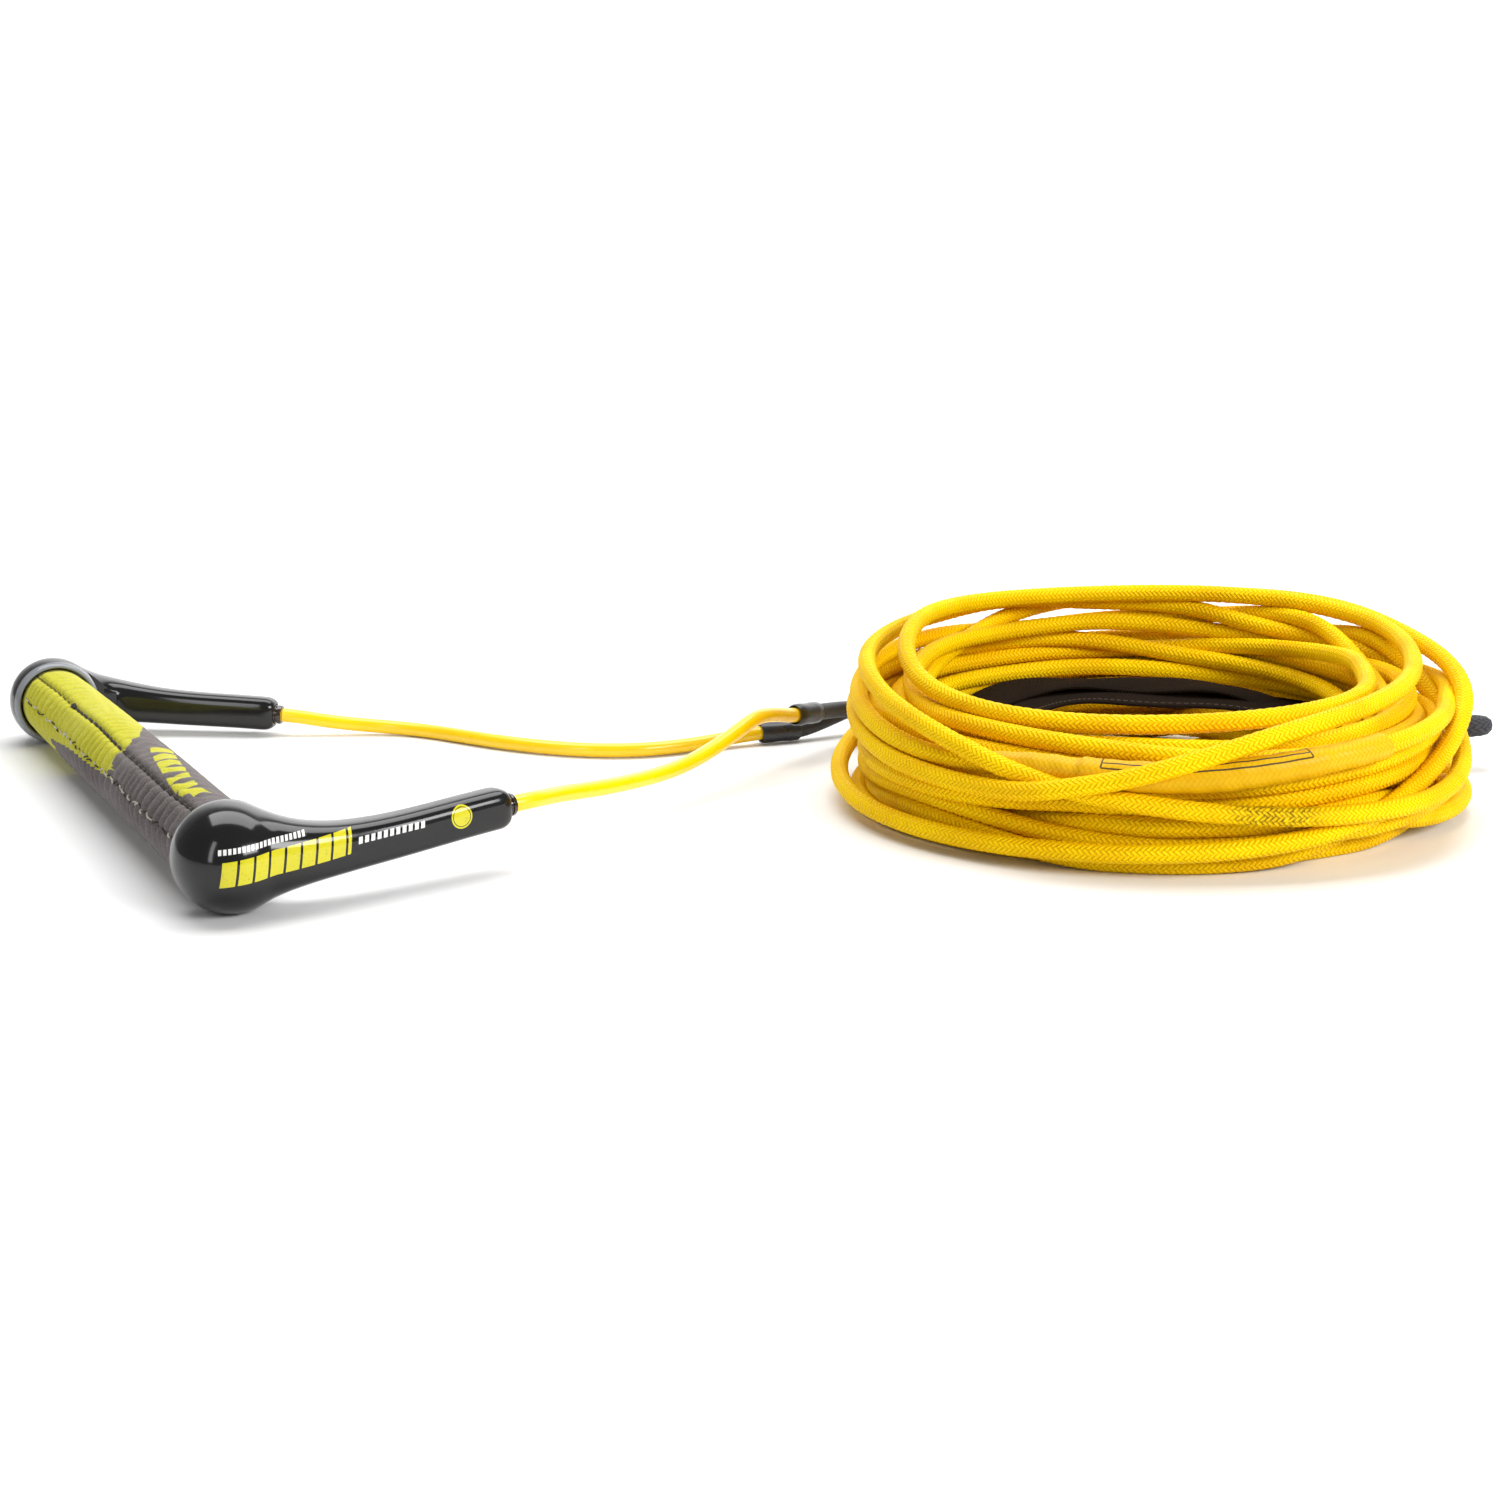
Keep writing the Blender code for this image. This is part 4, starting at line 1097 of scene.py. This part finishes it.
def add_label_sleeve(line, span):
    """A shrink sleeve along the settled strand: slim at one end and thickest in the middle."""
    under = resampled(softened(label_stretch(line, span), 6), 0.001)[::-1]
    at = np.linspace(0, 1, len(under))
    radius = 0.0052 + 0.0010 * np.clip((at - 0.235) / 0.012, 0, 1)
    radius -= 0.0006 * np.clip((at - 0.80) / 0.02, 0, 1)
    from_end = np.minimum(at, 1 - at) * length_of(under)
    radius = np.where(from_end < 0.0008, radius - 0.0007, radius)[:, None]
    sides, at = 28, at[:, None]
    turn = 2 * math.pi * np.arange(sides)[None] / sides
    uneven = 1 + 0.035 * np.sin(2 * turn + 9 * at) + 0.018 * np.sin(3 * turn - 23 * at)
    ripple = 0.00012 * np.sin(at * 95 + 2 * turn)
    look = label_look(length_of(under))
    sleeve = sweep("splice_sleeve_film", under, radius * uneven + ripple, look, sides=sides)
    return shown(sleeve, "mainline", "label_sleeve", "splice_sleeve")


def add_lead(line):
    """From the throat of the eye to the coil."""
    route = smooth_route(MAINLINE_LEAD_ROUTE, 0.001)
    points = softened(resampled(np.concatenate([route, line[1:8]]), BRAID_PITCH), 3)
    lead = braided("mainline_lead_rope", points, MAINLINE_RADIUS, bpy.data.materials["rope"])
    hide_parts("mainline_lead")
    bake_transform(lead)
    return lead, points


def oval(middle, half_length, half_width, long_axis, short_axis, count):
    """Points round an oval and back to its start, which is the far end of its long axis."""
    a = 2 * math.pi * np.arange(count + 1)[:, None] / count
    middle, long_axis, short_axis = (np.array(v, float) for v in (middle, long_axis, short_axis))
    return middle + half_length * np.cos(a) * long_axis + half_width * np.sin(a) * short_axis


def looped_end(throat_end, ring):
    """A rope's line from its throat round an eye and back to where the eye closes."""
    leave = len(ring) // 9
    throat = (throat_end + ring[0]) / 2
    keys = [throat_end, throat, *ring[leave : -leave : leave // 2], ring[0], throat]
    return resampled(smooth_route(keys, 0.001), BRAID_PITCH)


def add_eye():
    ring = oval((EYE_X, LINK_Y, LINK_Z), EYE_HALF_LENGTH, EYE_HALF_HEIGHT, (1, 0, 0), (0, 0, 1), 64)
    line = looped_end(np.array([SWING_AXIS_X, LINK_Y, LINK_Z]), ring)
    eye = braided("mainline_eye_rope", line, MAINLINE_RADIUS, bpy.data.materials["rope"])
    shown(eye, "mainline_eye", "rope", "mainline_eye")
    x0, x1 = EYE_X + EYE_HALF_LENGTH - 0.006, SWING_AXIS_X
    throat = resampled([(x, LINK_Y, LINK_Z) for x in np.linspace(x0, x1, 9)], BRAID_PITCH)
    at = np.linspace(0, 1, len(throat))
    swell = 1.06 + 0.20 * np.sin(math.pi * np.clip(at * 1.15, 0, 1)) - 0.10 * at
    splice = braided("mainline_eye_splice", throat, MAINLINE_RADIUS, bpy.data.materials["rope"], swell=swell)
    shown(splice, "mainline_eye", "rope")
    return eye, line, splice


def add_boat_loop():
    heading = Vector((math.cos(BOAT_LOOP_HEADING), math.sin(BOAT_LOOP_HEADING), 0))
    outward = Vector((heading.y, -heading.x, 0))
    long_axis = np.array(heading * math.cos(BOAT_LOOP_TILT) + Vector((0, 0, math.sin(BOAT_LOOP_TILT))))
    ring = oval(BOAT_LOOP_MIDDLE, BOAT_LOOP_HALF_LENGTH, BOAT_LOOP_HALF_WIDTH, long_axis, outward, 96)
    line = looped_end(ring[0] + long_axis * 0.008, ring)
    line[:, 2] = np.maximum(line[:, 2], BOAT_LOOP_RADIUS + 0.0004)
    # The first colour is painted shade in the gaps between the loop's yarns.
    look = rope_look("boat_loop", (0.012, 0.012, 0.014, 1), (0.075, 0.075, 0.085, 1))
    loop = braided("boat_loop_braid", line, BOAT_LOOP_RADIUS, look)
    shown(loop, "mainline", "boat_loop", "boat_loop")
    end = np.array(BOAT_END_ROUTE[0])
    route = [ring[0] - long_axis * 0.005, ring[0], (ring[0] + end) / 2, end]
    throat = resampled(smooth_route(route, 0.001), BRAID_PITCH)
    swell = 1.2 - 0.18 * np.linspace(0, 1, len(throat)) ** 2
    splice = braided("boat_loop_splice", throat, BOAT_LOOP_RADIUS, look, swell=swell)
    shown(splice, "mainline", "boat_loop")
    return loop, line, splice


def strap_band(name, route, width, thickness, look, crown, wave):
    """A thin closed strip along the route, with a softly rolled cross-section, and its length."""
    points = resampled(smooth_route(route, 0.002), 0.0025)
    side, rise = side_axes(points, True, False)
    at = run_along(points)
    across = np.linspace(-1, 1, 19)
    lift = crown * (1 - across**2) + wave * np.sin(at[:, None] * 95 + across * 2.2)
    half = thickness / 2 * np.where(abs(across) > 0.98, 0.45, 1.0)
    row = points[:, None] + side[:, None] * (across * width / 2)[:, None]
    top = row + rise[:, None] * (lift + half)[..., None]
    bottom = row + rise[:, None] * (lift - half)[..., None]
    distance = (across + 1) * width / 2
    rings = np.concatenate([top, bottom[:, ::-1]], axis=1)
    vertices, faces, uv = ringed(rings, [*distance, *distance[::-1], distance[0]], at)
    return add_mesh(name, vertices, faces, look, uv, 50), length_of(points)


def add_strap():
    look = webbing_look()
    main, length = strap_band("strap_band", STRAP_ROUTE, STRAP_WIDTH, STRAP_THICKNESS, look, 0.0006, 0.0005)
    shown(main, "mainline", "strap", "rope_keeper_strap")
    route = np.array(STRAP_ROUTE[:5]) + (0.0025, 0.0065, 0.0036)
    route = np.concatenate([route, [(0.4530, -0.1600, 0.0305), (0.4640, -0.1690, 0.0250)]])
    fold, _ = strap_band("strap_fold", route, STRAP_WIDTH * 0.58, STRAP_THICKNESS * 0.8, look, 0.0016, 0.0008)
    shown(fold, "mainline", "strap")


def add_mainline():
    rope, label_span = settle_coil()
    coil, coil_line = add_coil(rope)
    lead, lead_line = add_lead(coil_line)
    eye, eye_line, eye_splice = add_eye()
    loop, loop_line, boat_splice = add_boat_loop()
    sleeve = add_label_sleeve(coil_line, label_span)
    add_strap()


# ---------------------------------------------------------------- the bridle


def add_apex_sleeve(end, start, stop, look):
    """A shrink tube over the joint of a leg and the loop, from one point to the other."""
    start, stop = Vector(start), Vector(stop)
    half, outer, bore = SLEEVE_LENGTH / 2, SLEEVE_RADIUS, 0.0043
    profile = [
        (bore, -half + 0.0006), (outer - 0.0008, -half), (outer - 0.0002, -half + 0.0009),
        (outer, -half * 0.5), (outer - 0.0003, 0.0), (outer, half * 0.5),
        (outer - 0.0002, half - 0.0009), (outer - 0.0008, half), (bore, half - 0.0006),
    ]
    sleeve = turned("apex_tube_" + end, profile, facing((start + stop) / 2, stop - start), look, 40)
    return shown(sleeve, "handle", "sheath", "apex_sleeve_" + end)


def add_bridle():
    yellow = bridle_look()
    black = sheath_look("loop_cord", (0.012, 0.012, 0.013), 0.42)
    shrink = sheath_look("shrink_tube", (0.016, 0.016, 0.018), 0.22)
    loop_line = resampled(smooth_route(BRIDLE_LOOP_ROUTE, 0.001), 0.002)
    loop = sweep("bridle_loop_cord", loop_line, LOOP_RADIUS, black, sides=24)
    shown(loop, "handle", "sheath", "bridle_loop")
    left_sleeve = add_apex_sleeve("left", LEFT_LEG_ROUTE[-2], BRIDLE_LOOP_ROUTE[1], shrink)
    right_sleeve = add_apex_sleeve("right", RIGHT_LEG_ROUTE[-2], BRIDLE_LOOP_ROUTE[-2], shrink)
    for end, route, sleeve in (
        ("left", LEFT_LEG_ROUTE, left_sleeve),
        ("right", RIGHT_LEG_ROUTE, right_sleeve),
    ):
        line = resampled(smooth_route(route, 0.001), 0.003)
        leg = sweep("bridle_rope_" + end, line, BRIDLE_RADIUS, yellow, sides=24)
        shown(leg, "handle", "bridle", "bridle_leg_" + end)


# ---------------------------------------------------------------- the handle


def smoothstep(low, high, value):
    """0 below low, 1 above high, smooth between."""
    t = min(1.0, max(0.0, (value - low) / (high - low)))
    return t * t * (3 - 2 * t)


def arm_drop(s):
    """How far the arm sags below a straight line at s."""
    return -ARM_SAG * math.sin(math.pi * min(max(s / ARM_LENGTH, 0.0), 1.0)) ** 2


def arm_spot(end, s, across, up):
    """World place of a spot on an end cap: s along the arm, across outward of the bulb's middle, and up."""
    toe, lift = TOE_IN[end], ARM_LIFT[end]
    forward, inward, turn = min(s, TOE_START), 0.0, 0.0
    steps = max(0, math.ceil((s - TOE_START) / 0.001))
    for k in range(steps):
        length = (s - TOE_START) / steps
        turn = toe * smoothstep(TOE_START, TOE_END, TOE_START + (k + 0.5) * length)
        forward += length * math.cos(turn)
        inward += length * math.sin(turn)
    if steps:
        turn = toe * smoothstep(TOE_START, TOE_END, s)
    x = forward + (across - ARM_OFFSET) * math.sin(turn)
    outward = ARM_OFFSET - inward + (across - ARM_OFFSET) * math.cos(turn)
    return Vector(
        (
            BAR_X + x * math.cos(lift) - up * math.sin(lift),
            SIDE[end] * (BULB_SPACING / 2 + outward),
            BAR_HEIGHT + x * math.sin(lift) + up * math.cos(lift),
        )
    )


def cap_section(s):
    """Half height, half width and outward shift of the end cap at s: a ball that flows into a slim arm."""
    shoulder = 0.011
    ball = math.sqrt(1 - min(s, shoulder) ** 2 / BULB_RADIUS**2)
    half_height, half_width, shift = BULB_RADIUS * ball, BULB_HALF_WIDTH * ball, BULB_SECTION_SHIFT
    if s > shoulder:
        fade = math.exp(-(s - shoulder) / 0.0165)
        half_height = ARM_HALF_HEIGHT + (half_height - ARM_HALF_HEIGHT) * fade
        half_width = ARM_HALF_WIDTH + (half_width - ARM_HALF_WIDTH) * fade
        shift = ARM_OFFSET + (shift - ARM_OFFSET) * math.exp(-(s - shoulder) / 0.012)
    rounding = max(0.0, (s - (ARM_LENGTH - ARM_TIP_LENGTH)) / ARM_TIP_LENGTH)
    tip = 0.6 + 0.4 * math.sqrt(max(0.0, 1 - rounding**2))
    return half_height * tip, half_width * tip, shift


def cap_stations():
    """Where along the arm the cap's sections are, closer together where it rounds off."""
    ball = [-BULB_RADIUS * math.cos(math.radians(a)) for a in (2, 5, 9, 14, 20, *range(26, 121, 6))]
    arm = [0.0125 + 0.0032 * k for k in range(31)]
    tip = [ARM_LENGTH - ARM_TIP_LENGTH * d for d in (0.85, 0.7, 0.55, 0.4, 0.28, 0.18, 0.1, 0.04, 0.0)]
    return ball + arm + tip


def cap_body(end, look, around=72):
    """The bulb and its arm, with sections that go from round to slightly square."""
    rings = []
    for s in cap_stations():
        half_height, half_width, shift = cap_section(s)
        power = 2 / (2.1 + 0.9 * smoothstep(0.0, 0.05, s))
        ring = []
        for j in range(around):
            a = 2 * math.pi * j / around
            c, d = math.cos(a), math.sin(a)
            across = shift + half_width * math.copysign(abs(c) ** power, c)
            up = arm_drop(s) + half_height * math.copysign(abs(d) ** power, d)
            ring.append(arm_spot(end, s, across, up))
        rings.append(ring)
    vertices, faces, _ = ringed(np.array(rings), np.zeros(around + 1), np.zeros(len(rings)))
    return outward_faces(add_mesh("end_cap_body_" + end, vertices, faces, look))


def along_bar(side):
    """The bar's frame: Z runs outward towards this end, from the middle of the handle."""
    return facing((BAR_X, 0, BAR_HEIGHT), (0, side, 0))


def cap_cutters(end, look):
    """What is taken out of an end cap: the socket for the bar, the relief's seat, and all below the floor."""
    middle = BULB_SPACING / 2
    lip = middle + FLANGE_FACE
    recess = lip + RECESS_DEPTH
    socket = [
        (0.0, middle - 0.040), (0.030, middle - 0.040), (0.030, lip + 0.0060), (0.0212, lip + 0.0060),
        (0.0206, lip + 0.0034), (0.0202, lip + 0.0021), (0.0198, lip + 0.0012), (0.0194, lip + 0.0006),
        (0.0190, lip + 0.0002), (0.0186, lip), (0.0183, lip + 0.0001), (0.0180, lip + 0.0005),
        (RECESS_RADIUS, lip + 0.0010), (RECESS_RADIUS, recess), (0.0113, recess),
        (0.0113, middle - 0.004), (0.0, middle - 0.004),
    ]
    seat_start = arm_spot(end, ARM_LENGTH - RELIEF_INSET, ARM_OFFSET, 0)
    seat_stop = arm_spot(end, ARM_LENGTH + RELIEF_INSET, ARM_OFFSET, 0)
    reach = (seat_stop - seat_start).length
    radius = RELIEF_RADIUS + FIT_GAP
    seat = [(0.0, 0.0), (radius, 0.0), (radius, reach), (0.0, reach)]
    below = [(0.0, -0.03), (0.03, -0.03), (0.03, 0.0), (0.0, 0.0)]
    under_bulb = Matrix.Translation((BAR_X, SIDE[end] * middle, 0))
    return (
        turned("cut_socket", socket, along_bar(SIDE[end]), look, 96),
        turned("cut_seat", seat, facing(seat_start, seat_stop - seat_start), look, 48),
        turned("cut_floor", below, under_bulb, look),
    )


def add_cap(end, look):
    cap = cap_body(end, look)
    cutters = cap_cutters(end, look)
    for cutter in cutters:
        boolean = cap.modifiers.new(cutter.name, "BOOLEAN")
        boolean.operation = "DIFFERENCE"
        boolean.object = cutter
    bpy.context.view_layer.update()
    made = bpy.data.meshes.new_from_object(cap.evaluated_get(bpy.context.evaluated_depsgraph_get()))
    cap.modifiers.clear()
    cap.data = made
    made.shade_smooth()
    made.set_sharp_from_angle(angle=math.radians(38))
    for cutter in cutters:
        bpy.data.objects.remove(cutter)
    shown(cap, "handle", "cap", "end_cap_" + end)


def add_relief(end, look):
    """The short boot at the arm's tip, with a groove round it."""
    back = arm_spot(end, ARM_LENGTH - 0.002, ARM_OFFSET, 0)
    front = arm_spot(end, ARM_LENGTH, ARM_OFFSET, 0)
    inner, radius = BRIDLE_RADIUS + FIT_GAP / 3, RELIEF_RADIUS
    start, face = FIT_GAP - RELIEF_INSET, RELIEF_LENGTH - RELIEF_INSET
    profile = [
        (inner, start), (radius, start), (radius, 0.0006), (radius - 0.0005, 0.0009),
        (radius - 0.0005, 0.0013), (radius, 0.0016), (radius, face - 0.0008),
        (radius - 0.0003, face - 0.0002), (radius - 0.0007, face), (inner, face - 0.0002),
    ]
    relief = turned("relief_boot_" + end, profile, facing(front, front - back), look, 48)
    shown(relief, "handle", "relief", "strain_relief_" + end)


def hump(off, width):
    """1 at an offset of 0, falling away smoothly over about this width."""
    return np.exp(-((off / width) ** 2))


def cover_attributes(angle, y):
    """How far each point of the cover lies inside the yellow part and a printed block, and how much painted
    shade it takes in the deep seam's groove and in a crease.
    """
    boundary_angles = np.array([-180, -98, -90, -82, -74, -58, -31, -25, 9, 60, 120, 180])
    boundary_at = np.array([88, 88, 62, 22, -36, -36, -31, -31, -14, 40, 88, 88]) / 1000
    edge = np.interp(angle, boundary_angles, boundary_at)
    edge = edge + 0.0035 * np.sin(angle * 0.35) * (angle < -60)
    yellow = (y - edge) * 0.7
    row_y = np.array([-0.132, -0.123, -0.092, -0.062, -0.037])
    row_angle = np.array([2.0, -11.5, -2.5, 8.0, 21.0])
    across = (angle - np.interp(y, row_y, row_angle)) / PRINT_HALF_ANGLE
    inside_row = (1.0 - np.abs(across)) * 0.004
    printed = np.full(angle.shape, -0.01)
    for k in range(PRINT_BLOCKS):
        from_start = y - PRINT_START - k * PRINT_PITCH - 0.0020 * across
        inside_block = np.minimum(from_start, PRINT_LENGTH - from_start)
        printed = np.maximum(printed, np.minimum(inside_block, inside_row))
    # groove weights the painted shade in the deep seam.
    groove = hump(angle - main_seam(y), 2.2)
    ripple, near_main, near_second = gathers(angle, y)
    # Painted shade, strongest in the creases of the gathers beside the two seams.
    crease_shade = np.clip(-ripple - 0.25, 0, 1) * np.clip(0.9 * near_main + 1.2 * near_second, 0, 1)
    return {"yellow": yellow, "printed": printed, "groove": groove, "crease_shade": crease_shade}


def main_seam(y):
    """Angle of the deep seam round the bar from its top, in degrees, at a place along the bar."""
    return -29.5 + 1.6 * np.sin(y * 26 + 0.6) + 0.7 * np.sin(y * 71)


def off_main_seam(angle, y):
    """Degrees from the deep seam, to either side."""
    return np.abs((angle - main_seam(y) + 180) % 360 - 180)


def gathers(angle, y):
    """The ripples across the seams, from -1 in a crease to 1 on a fold, and how near each seam is."""
    turns = y / 0.0088 + 0.30 * np.sin(y * 90) + 0.003 * angle * np.sin(y * 37)
    wave = np.sin(2 * math.pi * turns)
    ripple = np.where(wave > 0, wave, -(np.abs(wave) ** 0.6)) * (0.7 + 0.3 * np.sin(y * 57 + 1.3))
    return ripple, hump(off_main_seam(angle, y), 34), hump(angle - SECOND_SEAM, 26)


def cover_radius(angle, y):
    """The stuffed cover: it pulls in at its seams and puckers across them."""
    off = off_main_seam(angle, y)
    ripple, near_main, near_second = gathers(angle, y)
    radius = COVER_RADIUS + 0.00035 * np.sin(np.radians(angle * 2) + 14 * y)
    radius = radius - 0.0014 * hump(off, 3.5) + 0.00040 * hump(off - 11, 6)
    radius = radius + ripple * (0.00130 * near_main + 0.00125 * near_second)
    radius = radius - 0.0008 * hump(angle - SECOND_SEAM, 4)
    third_seam = 5 + 35 * np.clip((y - 0.03) / 0.12, 0, 1)
    faint = np.clip((y - 0.025) / 0.02, 0, 1)
    radius = radius - 0.0005 * faint * hump(angle - third_seam, 5)
    radius = radius + 0.00016 * np.sin(y * 510 + angle * 0.12) * np.sin(angle * 0.07 + y * 33)
    gap_to_lip = BULB_SPACING / 2 + FLANGE_FACE - 0.0005 - np.abs(y)
    end_radius = COVER_RADIUS - 0.0004
    return end_radius + (radius - end_radius) * np.clip(gap_to_lip / 0.006, 0, 1)


def bar_point(angle, radius, y):
    """Angle is from straight up, positive towards the arms."""
    a = np.radians(angle)
    return np.stack([BAR_X + radius * np.sin(a), y, BAR_HEIGHT + radius * np.cos(a)], -1)


def add_cover():
    around, rows = 160, 460
    angle = -180 + 360 * np.arange(around) / around
    y = np.linspace(-GRIP_HALF_LENGTH, GRIP_HALF_LENGTH, rows)
    inner_y = np.array([GRIP_HALF_LENGTH + 0.0004, -GRIP_HALF_LENGTH - 0.0004])
    all_y, all_angle = np.meshgrid(np.concatenate([y, inner_y]), angle, indexing="ij")
    radius = cover_radius(all_angle, all_y)
    radius[rows:] = FOAM_RADIUS + FIT_GAP
    rings = bar_point(all_angle, radius, all_y)
    vertices, faces, _ = ringed(rings, np.zeros(around + 1), np.zeros(len(rings) + 1))
    cover = outward_faces(add_mesh("grip_cover_cloth", vertices, faces, cover_look(), sharp=60))
    for name, values in cover_attributes(all_angle.ravel(), all_y.ravel()).items():
        layer = cover.data.attributes.new(name, "FLOAT", "POINT")
        layer.data.foreach_set("value", np.asarray(values, np.float32))
    shown(cover, "handle", "cover", "grip_cover")


def add_stitches(pale, dark):
    """Zig-zag stitches along the second seam, some of them showing the darker thread under them."""
    rng = np.random.default_rng(5)
    pitch, margin = 0.0031, 0.006
    pale_lines, dark_lines = [], []
    for k in range(int(2 * (GRIP_HALF_LENGTH - margin) / pitch)):
        start = -GRIP_HALF_LENGTH + margin + k * pitch
        swing = (3.4 if k % 2 else -3.4) * rng.uniform(0.5, 1.2)
        t = np.linspace(0.0, rng.uniform(0.55, 1.0), 6)
        angle = SECOND_SEAM - swing + 2 * swing * t + rng.normal(0, 0.5)
        y = start + pitch * t
        lift = cover_radius(angle, y) - 0.00025 + 0.0008 * np.sin(math.pi * t / t[-1])
        lines = dark_lines if rng.uniform() < 0.42 else pale_lines
        lines.append(bar_point(angle, lift, y))
    shown(bundle("zigzag_stitches", pale_lines, 0.00036, pale), "handle", "cover")
    shown(bundle("zigzag_under_thread", dark_lines, 0.00034, dark), "handle", "cover")


def add_seam_thread(look):
    """The twisted thread down in the main seam, ending in a knot."""
    knot_y = 0.0722
    y = np.arange(-GRIP_HALF_LENGTH + 0.004, knot_y - 0.0002, 0.0004)
    twist = y * 2 * math.pi / 0.0045
    middle = main_seam(y)
    radius = cover_radius(middle, y) + 0.00045
    for strand, name in ((0.0, "seam_thread_a"), (math.pi, "seam_thread_b")):
        line = bar_point(middle + 1.3 * np.sin(twist + strand), radius + 0.0003 * np.cos(twist + strand), y)
        shown(sweep(name, line, 0.00038, look, sides=7), "handle", "cover")
    turns = np.linspace(0, 2 * math.pi, 60)
    wound = bar_point(
        main_seam(knot_y) + 3.4 * np.cos(2 * turns) + 1.2 * np.cos(3 * turns),
        cover_radius(main_seam(knot_y), knot_y) + 0.0008 + 0.0004 * np.sin(3 * turns),
        knot_y + 0.0011 * np.sin(2 * turns) + 0.0006 * np.sin(3 * turns),
    )
    shown(sweep("seam_knot", wound[:-1], 0.00042, look, sides=7, closed=True), "handle", "cover")


def keep_cad(name, look):
    """Shows a CAD node as it is, in a material of its own."""
    node = bpy.data.objects[name]
    for slot in node.material_slots:
        slot.link = "OBJECT"
        slot.material = look


def add_handle():
    for end, marked in (("left", True), ("right", False)):
        add_cap(end, cap_look("cap_" + end, marked))
    relief = relief_look()
    for end in SIDE:
        add_relief(end, relief)
    add_cover()
    dark = thread_look("seam_thread", (0.035, 0.028, 0.02))
    add_stitches(thread_look("stitch_thread", (0.62, 0.60, 0.50)), dark)
    add_seam_thread(dark)
    keep_cad("bar_tube", plain_look("tube", (0.50, 0.51, 0.53), (0.62, 0.63, 0.65), 0.32, 1.0))
    nylon = plain_look("guide", (0.66, 0.65, 0.61), (0.75, 0.74, 0.70), 0.4)
    for end in SIDE:
        keep_cad("rope_guide_" + end, nylon)
    keep_cad("float_core", plain_look("core", (0.78, 0.77, 0.72), (0.88, 0.87, 0.83), 0.9, scale=900))
    keep_cad("grip_foam", plain_look("foam", (0.03, 0.03, 0.034), (0.06, 0.06, 0.066), 0.85, scale=1500))
    keep_cad("bar_rope", bpy.data.materials["coated_yellow"])


def main():
    add_camera()
    add_mainline()
    add_bridle()
    add_handle()
    add_studio()
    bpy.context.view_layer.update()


main()
